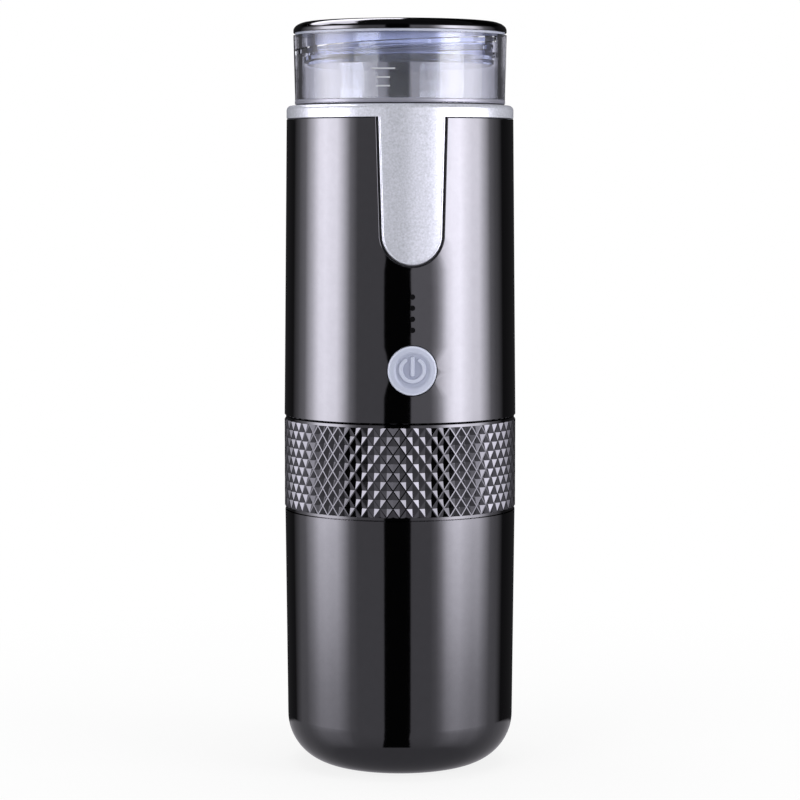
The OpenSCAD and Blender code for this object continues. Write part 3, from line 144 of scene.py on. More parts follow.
# studio: softboxes left and right, a dark card behind the camera, dark cards at the back, one panel above.
# a closed drum stands all round, and each angle from the camera has its brightness; only reflections see it.
# tables are angles in degrees, or heights in metres, with their glow
studio = {
    "radius": 0.95, "low": -1.2, "high": 1.2, "columns": 360, "discSteps": (0.0005, 0.94, 30),
    "wallSteps": [(-1.2, -0.4, 17), (-0.36, 0.5, 44), (0.55, 1.2, 14)], "tint": "#fbf8ff",
    "fill": 0.4, "ground": 0.28, "groundTop": -0.3, "ceiling": 0.03, "shade": 0.03,
    "left": [(-120, 0), (-108, 0.5), (-96, 2.9), (-87, 5.6), (-79, 6.2), (-72, 5.8), (-65, 5.5), (-58, 3.4),
             (-50, 0.7), (-42, 0)],
    "right": [(30, 0), (36, 0.6), (41, 2.0), (47.5, 5.4), (54, 7.0), (61, 7.4), (68, 6.1), (76, 5.0), (84, 4.7),
              (92, 2.5), (101, 0.4), (110, 0)],
    "core": (-15.5, 10.5), "coreGlow": 0.008, "coreFoot": -1.0, "coreTop": -0.4, "coreSpread": 1.35,
    "sides": [(-132, 0), (-118, 1), (111, 1), (123, 0)], "sideFoot": -0.205,
    "fall": [(-1.0, 0), (-0.30, 0.08), (-0.17, 0.18), (-0.15, 0.24), (-0.117, 0.38), (-0.077, 0.5), (-0.045, 0.64),
             (0.046, 1.0), (0.2, 1.12), (0.46, 1.0), (0.52, 0.9), (0.66, 0)],
    "fillTop": [(0.5, 1), (0.66, 0.1)],
    "bounce": [(10.5, 0.3), (36, 0.3), (46, 0)], "bounceRise": [(-0.06, 0), (0.08, 1)],
    "panel": {"angles": (-180, -105), "foot": 0.8, "outer": -0.85, "inner": -0.49, "slant": -0.41, "front": 0.15,
              "glow": 5.6},
}


def softboxDrum(s):  # glow by angle and place: fill outside the dark cards, plus softboxes that fade downwards
    angle = np.linspace(-180, 180, s["columns"] + 1)[:-1]
    inward = np.linspace(*s["discSteps"])
    wall = np.concatenate([np.linspace(*steps) for steps in s["wallSteps"]])
    reach = np.concatenate([inward, np.full(len(wall), s["radius"]), inward[::-1]])
    height = np.concatenate([np.full(len(inward), s["low"]), wall, np.full(len(inward), s["high"])])
    a, z = np.meshgrid(angle, height)
    r = np.broadcast_to(reach[:, None], a.shape)
    boxes = sum(fromTable(s[side], a, left=0, right=0) for side in ("left", "right"))
    fill = s["shade"] + (s["fill"] - s["shade"]) * np.where(z < s["sideFoot"], 1, fromTable(s["sides"], a))
    fill = fill + (s["ground"] - fill) * np.interp(z, (s["low"], s["groundTop"]), (1, 0))  # the floor's grey, low down
    fill = fill * fromTable(s["fillTop"], z)
    bounce = fromTable(s["bounce"], a, left=0, right=0) * fromTable(s["bounceRise"], z) * fromTable(s["fillTop"], z)
    glow = fill + bounce + boxes * fromTable(s["fall"], z)
    glow = np.where(r < s["radius"], np.where(z < 0, s["ground"], s["ceiling"]), glow)
    p = s["panel"]  # it leans in from the wall at the back left over part of the ceiling, to a slanting edge
    x, y = r * np.sin(np.radians(a)), r * np.cos(np.radians(a))
    onWall = (r >= s["radius"]) & (a >= p["angles"][0]) & (a < p["angles"][1]) & (z > p["foot"])
    underEdge = (x > p["outer"]) & (x < p["inner"] + p["slant"] * y) & (y < p["front"])
    onTop = (r < s["radius"]) & (z > 0) & underEdge
    glow = np.where(onWall | onTop, p["glow"], glow)
    spread = np.interp(z, (s["coreFoot"], s["coreTop"]), (s["coreSpread"], 1))
    between = (a > s["core"][0] * spread) & (a < s["core"][1] * spread)
    dark = between & (z > s["coreFoot"]) & (r >= s["radius"])
    glow = np.where(dark, s["coreGlow"], glow)
    world = np.radians(a + shot["azimuth"])
    drum = putMesh("softbox_drum", np.stack([r * np.sin(world), -r * np.cos(world), z], -1),
                   gridFaces(len(height), len(angle), closed=True))
    putValues(drum, "glow", glow)
    finish = bpy.data.materials.new("softbox_cloth")
    tree = emptyTree(finish)
    level = add(tree, "ShaderNodeAttribute", {"attribute_name": "glow"})
    light = add(tree, "ShaderNodeEmission", {"Color": linear(s["tint"])}, {"Strength": level.outputs["Fac"]})
    add(tree, "ShaderNodeOutputMaterial", links={"Surface": light.outputs[0]})
    drum.data.materials.append(finish)
    hideFrom(drum, "camera", "diffuse", "transmission", "volume_scatter", "shadow")


softboxDrum(studio)

# a card behind the clear tank, seen only through it: dark down the middle, pale beside that, with dark edges.
# places are mm across the object, as the camera sees them against the card; heights are metres
tankCard = {
    "behind": 0.045, "heights": [0.15, 0.2140, 0.2152, 0.28],
    "tank": [(-250, 0.1), (-60, 0.06), (-46, 0.08), (-38, 0.5), (-30, 0.55), (-20, 0.6), (-13, 0.6), (-9.5, 0.34),
             (-4.6, 0.2), (-3.2, 0.0), (2.6, 0.0), (4.0, 0.26), (8.5, 0.28), (12, 0.5), (16, 0.6), (26, 0.65),
             (32, 0.6), (38, 0.5), (46, 0.08), (60, 0.06), (250, 0.1)],
    "plug": [(-250, 0.1), (-60, 0.06), (-48, 0.12), (-40, 0.9), (-30, 1.0), (-14, 0.9), (-8, 0.5), (-3.0, 0.42),
             (-1.6, 0.04), (1.3, 0.04), (2.6, 0.6), (8, 0.7), (14, 0.9), (30, 1.0), (40, 0.9), (48, 0.12),
             (60, 0.06), (250, 0.1)],
}
spots = np.unique([mm for zone in ("tank", "plug") for mm, glow in tankCard[zone]])
levels = [fromTable(tankCard[zone], spots) for zone in ("tank", "tank", "plug", "plug")]
across = spots / 1000 * (shot["distance"] + tankCard["behind"]) / shot["distance"]
height = np.array(tankCard["heights"])[:, None]
points = np.stack(np.broadcast_arrays(across * math.cos(turn) - tankCard["behind"] * math.sin(turn),
                                      across * math.sin(turn) + tankCard["behind"] * math.cos(turn), height), -1)
card = putMesh("tank_card", points, gridFaces(*points.shape[:2]))
putValues(card, "glow", levels)
card.data.materials.append(bpy.data.materials["softbox_cloth"])
hideFrom(card, "camera", "diffuse", "glossy", "volume_scatter", "shadow")

# sky: plain white, at full strength where it is seen, mirrored or looked through, and weaker as light on what is matt
skyLight = {"matt": 0.36, "seen": 1.0}
world = bpy.data.worlds.new("white_studio")
scene.world = world
tree = emptyTree(world)
ray = add(tree, "ShaderNodeLightPath")
seen = add(tree, "ShaderNodeMath", {"operation": "MAXIMUM"},
           {0: ray.outputs["Is Camera Ray"], 1: ray.outputs["Is Glossy Ray"]})
seen = add(tree, "ShaderNodeMath", {"operation": "MAXIMUM"},
           {0: seen.outputs[0], 1: ray.outputs["Is Transmission Ray"]})
strength = add(tree, "ShaderNodeMapRange", {"To Min": skyLight["matt"], "To Max": skyLight["seen"]},
               {"Value": seen.outputs[0]})
sky = add(tree, "ShaderNodeBackground", {"Color": (1, 1, 1, 1)}, {"Strength": strength.outputs[0]})
add(tree, "ShaderNodeOutputWorld", links={"Surface": sky.outputs[0]})

# lamps light what is matt: two large panels in front, left and right, and one above
lampAim = (0, 0, 0.12)
lamps = {
    "left_panel": {"place": (-0.75, -0.75, 0.45), "size": 0.6, "power": 4.0},
    "right_panel": {"place": (0.85, -0.6, 0.40), "size": 0.6, "power": 5.0},
    "top_panel": {"place": (0.0, 0.1, 1.0), "size": 0.8, "power": 4.5},
}
for name, l in lamps.items():
    lamp = bpy.data.lights.new(name, "AREA")
    lamp.size, lamp.energy = l["size"], l["power"]
    holder = bpy.data.objects.new(name, lamp)
    scene.collection.objects.link(holder)
    aim = np.array(lampAim) - np.array(l["place"])
    flat = math.hypot(aim[0], aim[1])
    holder.location = l["place"]
    holder.rotation_euler = (math.atan2(flat, -aim[2]), 0, math.atan2(aim[1], aim[0]) - math.pi / 2)
    hideFrom(holder, "glossy", "camera")

# floor: white paper that keeps the shadow near the foot and is plain white further out; reflections look past it
sweep = {"rings": [0.001, 0.02, 0.03, 0.04, 0.06, 0.09, 0.13, 0.2, 0.3, 0.5, 1.0, 4.0], "columns": 96,
         "lift": [(0.05, 0.84), (0.25, 1.0)], "paper": "#f4f4f4"}
r, a = np.meshgrid(sweep["rings"], np.linspace(0, 2 * np.pi, sweep["columns"] + 1)[:-1], indexing="ij")
floor = putMesh("floor", np.stack([r * np.cos(a), r * np.sin(a), 0 * r], -1), gridFaces(*r.shape, closed=True))
putValues(floor, "lift", fromTable(sweep["lift"], r))
paper = bpy.data.materials.new("white_paper_sweep")
tree = emptyTree(paper)
ray = add(tree, "ShaderNodeLightPath")
matt = add(tree, "ShaderNodeBsdfDiffuse", {"Color": linear(sweep["paper"])})
glow = add(tree, "ShaderNodeEmission", {"Color": (1, 1, 1, 1), "Strength": 1.0})
seen = add(tree, "ShaderNodeMath", {"operation": "MAXIMUM"},
           {0: ray.outputs["Is Camera Ray"], 1: ray.outputs["Is Transmission Ray"]})
lifted = add(tree, "ShaderNodeAttribute", {"attribute_name": "lift"})
share = add(tree, "ShaderNodeMath", {"operation": "MULTIPLY"}, {0: seen.outputs[0], 1: lifted.outputs["Fac"]})
both = add(tree, "ShaderNodeMixShader", links={0: share.outputs[0], 1: matt.outputs[0], 2: glow.outputs[0]})
add(tree, "ShaderNodeOutputMaterial", links={"Surface": both.outputs[0]})
floor.data.materials.append(paper)
hideFrom(floor, "glossy")
print("studio set")

# finishes by the record's slot. Each is the real material and how it was made: hex colour, metallic, roughness,
# grain in mm, and how much the grain moves the roughness, the surface and, as speck, the colour.
# the note at each line's end says what it gives the eye
usual = {"detail": 3.0, "octaves": 0.6, "speck": 0.06, "clear": 0.0, "gloss": 0.5}
finishes = {
    "gloss_black": {"real": "black_chrome_plated_abs", "hex": "#5d5d60", "metal": 1.0, "rough": 0.07,
                    "grain": 2.5, "vary": 0.03, "bump": 0.0008},  # a dark mirror with soft-edged softboxes in it
    "knurl_black": {"real": "black_chrome_knurled_zinc", "hex": "#57575b", "metal": 1.0, "rough": 0.11,
                    "grain": 0.6, "vary": 0.06, "bump": 0.006},  # facets that flash or go black by their lean
    # a soft pale sheen with fine grain; blasted grain is finer than a pixel, so it is drawn coarser here
    "satin_silver": {"real": "bead_blasted_anodised_aluminium", "hex": "#dcdeea", "metal": 0.36, "rough": 0.235,
                     "grain": 0.6, "vary": 0.1, "bump": 0.0, "speck": 0.42},
    "grey_silicone": {"real": "frosted_moulded_silicone", "hex": "#979cb2", "light": "#d3d8ea", "metal": 0.0,
                      "rough": 0.36, "grain": 0.5, "vary": 0.06, "bump": 0.02},  # milky grey; painted highlights make its rim and symbol paler, painted shade makes its dish darker
    "black_rubber": {"real": "moulded_nitrile_rubber", "hex": "#1b1b1d", "metal": 0.0, "rough": 0.7,
                     "grain": 0.4, "vary": 0.1, "bump": 0.05},  # dead black without reflections
    "red_silicone": {"real": "moulded_red_silicone", "hex": "#a8452f", "metal": 0.0, "rough": 0.5,
                     "grain": 0.8, "vary": 0.08, "bump": 0.03},  # brick red with a dull sheen
    "pale_silicone": {"real": "extruded_pale_silicone", "hex": "#d3d7da", "metal": 0.0, "rough": 0.45,
                      "grain": 0.8, "vary": 0.08, "bump": 0.03},  # milky white with a dull sheen
    "dark_plastic": {"real": "moulded_glass_filled_nylon", "hex": "#1d1d20", "metal": 0.0, "rough": 0.5,
                     "grain": 0.3, "vary": 0.12, "bump": 0.06},  # near black, with a fine mould texture
    "grey_plastic": {"real": "moulded_grey_abs", "hex": "#76797e", "metal": 0.0, "rough": 0.5,
                     "grain": 0.4, "vary": 0.1, "bump": 0.05},  # dull mid grey
    "pump_plastic": {"real": "moulded_acetal_block", "hex": "#a8acb2", "metal": 0.0, "rough": 0.4,
                     "grain": 0.6, "vary": 0.1, "bump": 0.03},  # pale grey, waxy
    "gear_plastic": {"real": "moulded_peek_gear", "hex": "#c9b27a", "metal": 0.0, "rough": 0.42,
                     "grain": 0.5, "vary": 0.08, "bump": 0.03},  # tan, waxy
    "heat_plastic": {"real": "moulded_heat_proof_resin", "hex": "#d8d3c4", "metal": 0.0, "rough": 0.55,
                     "grain": 0.5, "vary": 0.08, "bump": 0.04},  # dull cream
    "board_green": {"real": "solder_masked_glass_board", "hex": "#1f5c3a", "metal": 0.0, "rough": 0.35,
                    "grain": 1.2, "vary": 0.12, "bump": 0.03},  # deep green under a thin gloss
    "chip_black": {"real": "moulded_epoxy_chip", "hex": "#232327", "metal": 0.0, "rough": 0.55,
                   "grain": 0.2, "vary": 0.1, "bump": 0.04},  # dull charcoal
    "lamp_white": {"real": "cast_lamp_resin", "hex": "#eceae0", "metal": 0.0, "rough": 0.3,
                   "grain": 0.5, "vary": 0.05, "bump": 0.01},  # warm white, a little glossy
    "stainless": {"real": "drawn_stainless_steel", "hex": "#cfd0d2", "metal": 1.0, "rough": 0.24,
                  "grain": 0.8, "vary": 0.05, "bump": 0.002},  # bright metal with blurred reflections
    "screw_steel": {"real": "zinc_plated_screw_steel", "hex": "#bdbec2", "metal": 1.0, "rough": 0.26,
                    "grain": 0.6, "vary": 0.05, "bump": 0.003},  # bluish metal, duller than stainless
    "nickel": {"real": "nickel_plated_sheet", "hex": "#c7c3bb", "metal": 1.0, "rough": 0.24,
               "grain": 0.8, "vary": 0.05, "bump": 0.002},  # warm pale metal
    "brass": {"real": "turned_brass", "hex": "#cda85f", "metal": 1.0, "rough": 0.25,
              "grain": 0.6, "vary": 0.05, "bump": 0.003},  # yellow metal with blurred reflections
    "copper_winding": {"real": "enamelled_copper_wire", "hex": "#b9703f", "metal": 1.0, "rough": 0.35,
                       "grain": 0.4, "vary": 0.15, "bump": 0.2},  # orange metal, uneven as wound wire is
    "magnet": {"real": "sintered_ferrite", "hex": "#4c4c50", "metal": 0.3, "rough": 0.6,
               "grain": 0.3, "vary": 0.1, "bump": 0.06},  # dull dark grey, like stone
    "heater_film": {"real": "printed_heater_film", "hex": "#7d4f3a", "metal": 0.0, "rough": 0.45,
                    "grain": 1.0, "vary": 0.1, "bump": 0.03},  # brown film with a low sheen
    "cell_sleeve": {"real": "shrunk_pvc_sleeve", "hex": "#2f6f9a", "metal": 0.0, "rough": 0.35,
                    "grain": 3.0, "vary": 0.08, "bump": 0.02},  # blue film, faintly uneven
    "clear_plastic": {"real": "moulded_clear_copolyester", "hex": "#eef0f8", "metal": 0.0, "rough": 0.015,
                      "grain": 6.0, "vary": 0.02, "bump": 0.002, "clear": 1.0},  # clear, bends what is behind it
    "clear_guide": {"real": "smoked_acrylic_guide", "hex": "#030304", "metal": 0.0, "rough": 0.6,
                    "grain": 0.8, "vary": 0.1, "bump": 0.02, "gloss": 0.1},  # black windows that hardly reflect
    "clear_plug": {"real": "moulded_tinted_copolyester", "hex": "#d8def5", "metal": 0.0, "rough": 0.02,
                   "grain": 6.0, "vary": 0.02, "bump": 0.002, "clear": 1.0},  # clear with a lavender tint
    "foot_ring": {"real": "moulded_grey_copolyester", "hex": "#9898a4", "metal": 0.3, "rough": 0.3,
                  "grain": 2.0, "vary": 0.04, "bump": 0.01},  # a pale grey line with a soft sheen
    "lid_liner": {"real": "moulded_lavender_liner", "hex": "#cfd3e6", "metal": 0.0, "rough": 0.35,
                  "grain": 2.0, "vary": 0.06, "bump": 0.01},  # pale lavender, seen through the plug
    "lid_satin": {"real": "moulded_satin_black_abs", "hex": "#101012", "metal": 0.0, "rough": 0.42,
                  "grain": 0.4, "vary": 0.06, "bump": 0.02, "gloss": 0.3},  # black with a wide dull sheen
    "tick_print": {"real": "printed_pale_ink", "hex": "#b4b6be", "metal": 0.0, "rough": 0.5,
                   "grain": 0.2, "vary": 0.1, "bump": 0.02},  # flat pale ink
}


def makeFinish(s):  # fine noise of a real size moves colour, roughness and surface a little
    s = {**usual, **s}
    finish = bpy.data.materials.new(s["real"])
    tree = emptyTree(finish)
    place = add(tree, "ShaderNodeTexCoord")
    grain = add(tree, "ShaderNodeTexNoise",
                {"Scale": 1000 / s["grain"], "Detail": s["detail"], "Roughness": s["octaves"]},
                {"Vector": place.outputs["Object"]})
    rough = add(tree, "ShaderNodeMapRange",
                {"To Min": max(s["rough"] - s["vary"] / 2, 0.0), "To Max": s["rough"] + s["vary"] / 2},
                {"Value": grain.outputs[0]})
    tone = add(tree, "ShaderNodeMapRange", {"To Min": 1 - s["speck"], "To Max": 1 + s["speck"]},
               {"Value": grain.outputs[0]})
    colour = add(tree, "ShaderNodeMix",
                 {"data_type": "RGBA", "blend_type": "MULTIPLY", 0: 1.0, 6: linear(s["hex"])}, {7: tone.outputs[0]})
    if "light" in s:  # painted light: the rim and the raised symbol are painted paler as highlights, the dish darker as painted shade
        share = add(tree, "ShaderNodeAttribute", {"attribute_name": "tone"})
        colour = add(tree, "ShaderNodeMix", {"data_type": "RGBA", 7: linear(s["light"])},
                     {0: share.outputs["Fac"], 6: colour.outputs[2]})
    relief = add(tree, "ShaderNodeBump", {"Strength": 1.0, "Distance": s["bump"] * s["grain"] / 1000},
                 {"Height": grain.outputs[0]})
    shader = add(tree, "ShaderNodeBsdfPrincipled",
                 {"Metallic": s["metal"], "Transmission Weight": s["clear"], "Specular IOR Level": s["gloss"]},
                 {"Base Color": colour.outputs[2], "Roughness": rough.outputs[0], "Normal": relief.outputs[0]})
    add(tree, "ShaderNodeOutputMaterial", links={"Surface": shader.outputs[0]})
    return finish


made = {slot: makeFinish(s) for slot, s in finishes.items()}
for sub in frame["record"]["subparts"]:
    for holder in nodes[sub["node"]].material_slots:
        holder.material = made[sub["material_slot"]]
otherFinish = {"lid_plug": "clear_plug", "lid_seal": "lid_liner", "trim_ring": "gloss_black",
               "basket_carrier": "gloss_black"}
for name, finish in otherFinish.items():
    nodes[name].material_slots[0].material = made[finish]
for name in ("water_tank", "lid_plug"):  # clear walls let the lamps' light in to what they hold
    hideFrom(nodes[name], "shadow")
print("finishes made:", len(made))


def dress(piece, finish, slot, body, *gone):  # finish, record's slot (not used), body it rides on, nodes it takes the place of
    piece.data.materials.append(made[finish])
    if gone:
        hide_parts(*gone)
    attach(piece, body)


def lathe(name, profile, ends=None, columns=192, crease=30):  # radius and height, up the outside, carried round
    r, z = np.array(profile).T[:, :, None]
    a = np.linspace(0, 2 * np.pi, columns + 1)[:-1]
    points = np.stack(np.broadcast_arrays(r * np.cos(a), r * np.sin(a), z), -1)
    rows = len(points)
    if ends is None:  # a ring: the profile's last point joins its first
        return putMesh(name, points, gridFaces(rows + 1, columns, closed=True) % (rows * columns), crease=crease)
    closed = np.concatenate([points.reshape(-1, 3), [(0, 0, ends[0]), (0, 0, ends[1])]])
    return putMesh(name, closed, poleFaces(rows, columns), crease=crease)


# knurl: rows of diamond pits, each a hollow pyramid of four flat facets, with narrow lands on the round between them
knurl = {"columns": 58, "rows": 5, "depth": 0.0007, "land": 0.00032, "wall": 0.0017}


def knurlPits(k):
    low, high = (np.array(c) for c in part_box("knurled_sleeve"))
    n, rows, outer = k["columns"], 2 * k["rows"], high[0]
    wide, tall = np.pi * outer / n, (high[2] - low[2]) / rows
    s = 1 - k["land"] / 2 * math.hypot(wide, tall) / (wide * tall)  # share of each diamond that is pit
    j, c = np.meshgrid(np.arange(rows + 1), np.arange(n), indexing="ij")
    column = 2 * c + j % 2

    def place(right, up, r):  # a lattice place, in half columns and half rows, on a round of radius r
        turn = np.pi * right / n
        return np.stack([r * np.cos(turn), r * np.sin(turn), low[2] + tall * np.clip(up, 0, rows)], -1)

    five = [place(column, j, outer - k["depth"]), place(column + s, j, outer), place(column, j + s, outer),
            place(column - s, j, outer), place(column, j - s, outer)]
    index = np.arange(5 * j.size).reshape(5, rows + 1, n)
    middle, right, top, left, foot = index
    shift = np.where(j % 2 == 0, c, (c + 1) % n)  # the column right of a pit, in the rows above and below it
    back = np.where(j % 2 == 0, (c - 1) % n, c)
    up, inner = j[:-1] + 1, slice(1, -1)
    faces = [np.stack(f, -1).reshape(-1, len(f)) for f in (
        (middle[:-1], right[:-1], top[:-1]), (middle[:-1], top[:-1], left[:-1]),
        (middle[1:], left[1:], foot[1:]), (middle[1:], foot[1:], right[1:]),
        (right[:-1], foot[up, shift[:-1]], left[up, shift[:-1]], top[:-1]),
        (top[:-1], right[up, back[:-1]], foot[up, back[:-1]], left[:-1]),
        (right[inner], top[j[inner] - 1, shift[inner]], np.roll(left, -1, 1)[inner],
         foot[j[inner] + 1, shift[inner]]),
        (right[0], np.roll(left[0], -1), foot[1, shift[0]]),
        (right[-1], top[rows - 1, shift[-1]], np.roll(left[-1], -1)))]
    points = np.concatenate([p.reshape(-1, 3) for p in five])
    rims = [np.stack([left[e], middle[e], right[e]], -1).ravel() for e in (0, -1)]
    bore = points[np.concatenate(rims)]
    bore[:, :2] *= (outer - k["wall"]) / np.hypot(bore[:, 0], bore[:, 1])[:, None]
    lowBore, highBore = np.arange(6 * n).reshape(2, -1) + len(points)
    following = [np.roll(x, -1) for x in (*rims, lowBore, highBore)]
    faces += [np.stack(f, -1) for f in (
        (rims[0], lowBore, following[2], following[0]), (rims[1], following[1], following[3], highBore),
        (lowBore, highBore, following[3], following[2]))]
    used = np.unique(np.concatenate([np.ravel(group) for group in faces]))  # the end rows have half pits only
    faces = [f for group in faces for f in np.searchsorted(used, group)]
    return putMesh("knurl_pits", np.concatenate([points, bore])[used], faces, smooth=False)


sleeve = knurlPits(knurl)
dress(sleeve, "knurl_black", "knurl_black", "carrier", "knurled_sleeve")

# button: a moulded silicone cap with a rounded rim, a flat ring, a shallow dish and a raised power symbol.
# tones run from none, the dark silicone, to one, the pale; the rim and the raised symbol are painted paler as
# highlights and the dish darker as painted shade in its hollow
button = {"radius": 0.0072, "edge": 0.0005, "flange": 0.00835, "flangeDeep": 0.001, "symbolProud": 0.00025,
          "ringSteps": [(0.00006, 0.0065, 110), (0.00654, 0.0072, 24)], "columns": 288, "crease": 60,
          "dish": 0.005, "sink": 0.00055, "dishPast": 0.0006, "dishFade": 0.0009, "dishBow": 0.35,
          "relief": 0.0005, "arc": 0.0034, "line": 0.00115, "lift": 0.0003, "gap": 38, "bar": (-0.0017, 0.0042),
          "soft": 0.0003, "ringTone": 0.42, "rimTone": 0.4, "rimFrom": 0.0064, "rimFade": 0.0005, "symbolTone": 0.55}


def buttonCap(b):
    low, high = (np.array(c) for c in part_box("power_button"))
    mid = (low[2] + high[2]) / 2
    faceR = -low[1] - b["symbolProud"]  # the CAD face lies this far under its symbol
    rho, turn = np.meshgrid(np.concatenate([np.linspace(*steps) for steps in b["ringSteps"]]),
                            np.linspace(0, 2 * np.pi, b["columns"] + 1)[:-1], indexing="ij")
    x, z = rho * np.sin(turn), rho * np.cos(turn)
    step = lambda d: np.clip(0.5 - d / b["soft"], 0, 1)  # one inside an outline, none outside, with a soft edge
    smooth = lambda t: t * t * (3 - 2 * t)
    ends = math.radians(b["gap"]) * np.array([[-1], [1]])
    tips = b["arc"] * np.stack([np.sin(ends), np.cos(ends)], -1)[:, 0]
    inGap = np.abs(np.arctan2(x, z - b["lift"])) < math.radians(b["gap"])
    arc = np.where(inGap, np.min([np.hypot(x - t[0], z - b["lift"] - t[1]) for t in tips], axis=0),
                   np.abs(np.hypot(x, z - b["lift"]) - b["arc"]))
    bar = np.hypot(x, z - np.clip(z, b["bar"][0] + b["line"] / 2, b["bar"][1] - b["line"] / 2))
    symbol = smooth(step(np.minimum(arc, bar) - b["line"] / 2))
    fade = np.clip((b["dish"] + b["dishPast"] - rho) / b["dishFade"], 0, 1)
    dish = smooth(fade) * (1 - b["dishBow"] * np.clip(rho / b["dish"], 0, 1) ** 2)
    over = np.clip((rho - b["radius"] + b["edge"]) / b["edge"], 0, 1)
    out = faceR - b["sink"] * dish + b["relief"] * symbol - b["edge"] * (1 - np.sqrt(1 - over ** 2))
    y = -np.sqrt(out ** 2 - x ** 2)
    # painted light: the rim and the raised symbol get painted highlights, the dish gets painted shade in its hollow
    rim = b["rimTone"] * np.clip((rho - b["rimFrom"]) / b["rimFade"], 0, 1)
    tone = np.maximum(b["ringTone"] + rim - b["ringTone"] * dish, b["symbolTone"] * symbol)
    around = turn[0]
    rings = [(b["radius"], high[1] - b["flangeDeep"]), (b["flange"], high[1] - b["flangeDeep"]),
             (b["flange"], high[1])]
    behind = np.array([np.stack([r * np.sin(around), np.full_like(around, d), r * np.cos(around)], -1)
                       for r, d in rings])
    grid = np.concatenate([np.stack([x, y, z], -1), behind])
    points = np.concatenate([grid.reshape(-1, 3), [(0, y[0].mean(), 0), (0, high[1], 0)]]) + [0, 0, mid]
    cap = putMesh("button_cap", points, poleFaces(*grid.shape[:2]), crease=b["crease"])
    putValues(cap, "tone", np.concatenate([tone.ravel(), np.zeros(behind[..., 0].size), [tone[0, 0], 0]]))
    return cap


cap = buttonCap(button)
dress(cap, "grey_silicone", "grey_silicone", "button", "power_button")

# fill ticks: thin strips of ink, each a small oblong on the tank's cone carried round it; lines are height and length
ticks = {"turn": -14.8, "lines": [(0.2093, 0.007), (0.2068, 0.004), (0.2043, 0.004)], "line": 0.00045,
         "ink": 0.00003, "sunk": 0.00002, "lean": 0.0244, "steps": 17, "crease": 30}


def fillTicks(t):
    high = np.array(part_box("water_tank")[1])
    level, length = np.array(t["lines"]).T[:, :, None, None]
    corner = np.array([(1, t["ink"]), (1, -t["sunk"]), (-1, -t["sunk"]), (-1, t["ink"])])  # half lines up, and out
    along = np.linspace(-0.5, 0.5, t["steps"])[:, None]
    z = level + corner[:, 0] * t["line"] / 2
    r = high[0] - (high[2] - z) * t["lean"] + corner[:, 1]
    a = math.radians(t["turn"]) + along * length / r
    points = np.stack(np.broadcast_arrays(r * np.sin(a), -r * np.cos(a), z), -1)
    each = points[0, ..., 0].size
    faces = [f + k * each for k in range(len(points)) for f in sweepFaces(*points.shape[1:3])]
    return putMesh("fill_ticks", points, faces, crease=t["crease"])


marks = fillTicks(ticks)
dress(marks, "tick_print", "pale_silicone", "machine")
print("knurl, button and ticks made")

# slot: its lip, a dead black strip in its rebate as painted shade in the gap, and the tongue's raised edge, each a
# closed outline carried along the tongue's edge. outlines are steps out from that edge and down from the shell's face,
# in mm
slot = {"endHeight": 0.16135, "endRadius": 0.00875, "halfWidth": 0.0097, "faceLow": 0.035, "faceHigh": 0.0341,
        "sideSteps": 40, "bendSteps": 65, "crease": 50,
        "lip": [(0.94, -0.01), (0.88, 0.0), (0.80, 0.05), (0.72, 0.14), (0.66, 0.27), (0.64, 0.48), (0.94, 0.48)],
        "gasket": [(0.66, 0.47), (0.29, 0.47), (0.29, 0.6), (0.66, 0.6)],
        "edge": [(0.0, 0.15), (0.0, 0.05), (-0.05, -0.04), (-0.16, -0.09), (-0.3, -0.09), (-0.42, -0.05),
                 (-0.5, 0.01), (-0.5, 0.15)]}


def alongTongue(name, outline, s):
    low, high = (np.array(c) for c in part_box("upper_shell"))
    n = s["sideSteps"]
    rise = np.linspace(high[2] - s["endHeight"], 0, n)
    bend = np.linspace(0, np.pi, s["bendSteps"])[1:-1]
    side = s["endRadius"] + (s["halfWidth"] - s["endRadius"]) * rise / rise[0]
    x = np.concatenate([side, s["endRadius"] * np.cos(bend), -side[::-1]])[:, None]
    z = np.concatenate([rise, -s["endRadius"] * np.sin(bend), rise[::-1]])[:, None] + s["endHeight"]
    outX = np.concatenate([np.ones(n), np.cos(bend), -np.ones(n)])[:, None]
    outZ = np.concatenate([np.zeros(n), -np.sin(bend), np.zeros(n)])[:, None]
    out, down = np.array(outline[::-1]).T / 1000
    x, z = x + out * outX, z + out * outZ
    face = s["faceLow"] + (s["faceHigh"] - s["faceLow"]) * (z - low[2]) / (high[2] - low[2])
    y = -np.sqrt((face - down) ** 2 - x ** 2)
    return putMesh(name, np.stack([x, y, z], -1), sweepFaces(*x.shape), crease=s["crease"])


dress(alongTongue("slot_lip", slot["lip"], slot), "gloss_black", "gloss_black", "machine")
# painted shade: a dead black strip stands in for the shadow in the gap round the tongue
dress(alongTongue("slot_shade_strip", slot["gasket"], slot), "black_rubber", "black_rubber", "machine")
dress(alongTongue("tongue_edge", slot["edge"], slot), "satin_silver", "satin_silver", "machine")

# lid: a low wall, a shoulder that is a quarter of an ellipse, and a nearly flat top with a satin inlay;
# a pale liner fills its underside
lid = {"wall": 0.0007, "shoulder": 0.0046, "crown": 0.00012, "edge": 0.00015, "liner": 0.0255, "linerEdge": 0.0003,
       "sunk": 0.0001, "inlay": 0.00003, "margin": 0.0003, "inlayDeep": 0.0004, "shoulderSteps": 33,
       "flatSteps": (1, 0.05, 12)}


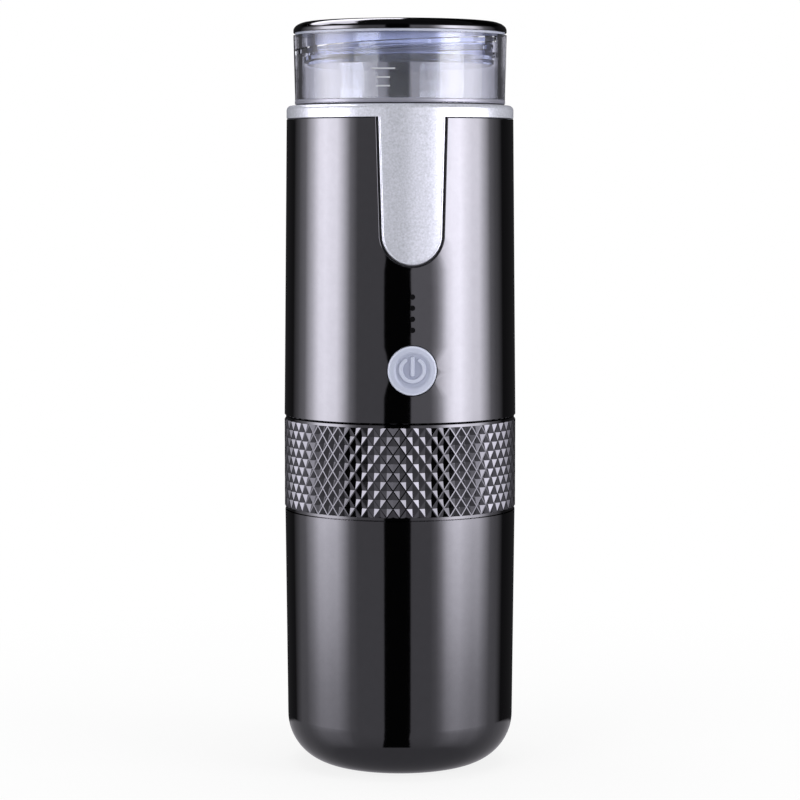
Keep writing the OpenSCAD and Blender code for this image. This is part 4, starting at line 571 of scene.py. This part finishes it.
def lidShell(l):
    low, high = (np.array(c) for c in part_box("lid_cap"))
    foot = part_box("lid_seal")[1][2]  # the seal's upper face carries the lid
    turnUp = np.linspace(0, np.pi / 2, l["shoulderSteps"])
    r = high[0] - l["shoulder"] * (1 - np.cos(turnUp))
    z = foot + l["wall"] + (high[2] - l["crown"] - foot - l["wall"]) * np.sin(turnUp)
    whole = np.linspace(*l["flatSteps"])  # share of the flat top's radius, inwards
    flat = whole[1:]
    bow = l["crown"] * (1 - flat ** 2)
    top = np.stack([r[-1] * flat, z[-1] + bow * (1 - l["inlay"] / l["crown"])], -1)
    under = np.array([(high[0] / 2, foot), (high[0] - l["edge"], foot), (high[0], foot + l["edge"])])
    shell = lathe("lid_shell", np.concatenate([under, np.stack([r, z], -1), top]), (foot, high[2]))
    e, rim, roof = l["linerEdge"], l["liner"], foot + l["sunk"]
    liner = [(rim / 2, low[2]), (rim - e, low[2]), (rim, low[2] + e), (rim, roof), (rim / 2, roof)]
    inside, deep = r[-1] - l["margin"], z[-1] - l["inlayDeep"]
    face = np.stack([inside * whole, z[-1] + l["inlay"] + (l["crown"] - l["inlay"]) * (1 - whole ** 2)], -1)
    disc = np.concatenate([[(inside / 2, deep), (inside, deep)], face])
    return shell, lathe("lid_liner", liner, (low[2], roof)), lathe("lid_top", disc, (deep, high[2]))


lidPiece, linerPiece, topPiece = lidShell(lid)
dress(lidPiece, "gloss_black", "gloss_black", "lid", "lid_cap")
dress(linerPiece, "lid_liner", "pale_silicone", "lid")
dress(topPiece, "lid_satin", "gloss_black", "lid")

# foot ring: a low round bead about the foot of the tank, where it meets the collar
bead = {"rise": 0.0004, "tall": 0.0013, "sunk": 0.0006, "proud": 0.0001, "half": 0.0002, "steps": 13}


def footRing(b):
    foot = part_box("silver_collar")[1][2] + b["rise"]
    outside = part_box("water_tank")[1][0] - b["sunk"]
    bend = np.linspace(0, np.pi, b["steps"])
    bulge = np.stack([outside + b["half"] * np.sin(bend), foot + b["tall"] * (1 - np.cos(bend)) / 2], -1)
    back = np.array([(outside - b["proud"], foot + b["tall"]), (outside - b["proud"], foot)])
    return lathe("tank_foot_ring", np.concatenate([bulge, back]))


dress(footRing(bead), "foot_ring", "grey_plastic", "machine")
print("slot, lid and foot ring made")

# valve spring: a round wire carried along a helix
coil = {"wire": 0.0003, "turns": 4, "sides": 8, "steps": 24, "travel": 0.001}


def valveCoil(c):
    low, high = (np.array(p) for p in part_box("valve_spring"))
    middle, tall = (low + high) / 2, high[2] - low[2]
    along = np.linspace(0, 1, c["turns"] * c["steps"] + 1)[:, None]
    turn, ring = 2 * np.pi * c["turns"] * along, np.linspace(0, 2 * np.pi, c["sides"] + 1)[:-1]
    reach = (high[0] - low[0]) / 2 - c["wire"] + c["wire"] * np.cos(ring)
    z = low[2] + c["wire"] + (tall - 2 * c["wire"]) * along + c["wire"] * np.sin(ring)
    x, y = middle[0] + reach * np.cos(turn), middle[1] + reach * np.sin(turn)
    points = np.stack(np.broadcast_arrays(x, y, z), -1)
    spring = putMesh("valve_coil", points, sweepFaces(*points.shape[:2]))
    dress(spring, "stainless", "stainless", "machine", "valve_spring")
    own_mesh(spring)


valveCoil(coil)
print("valve spring made")
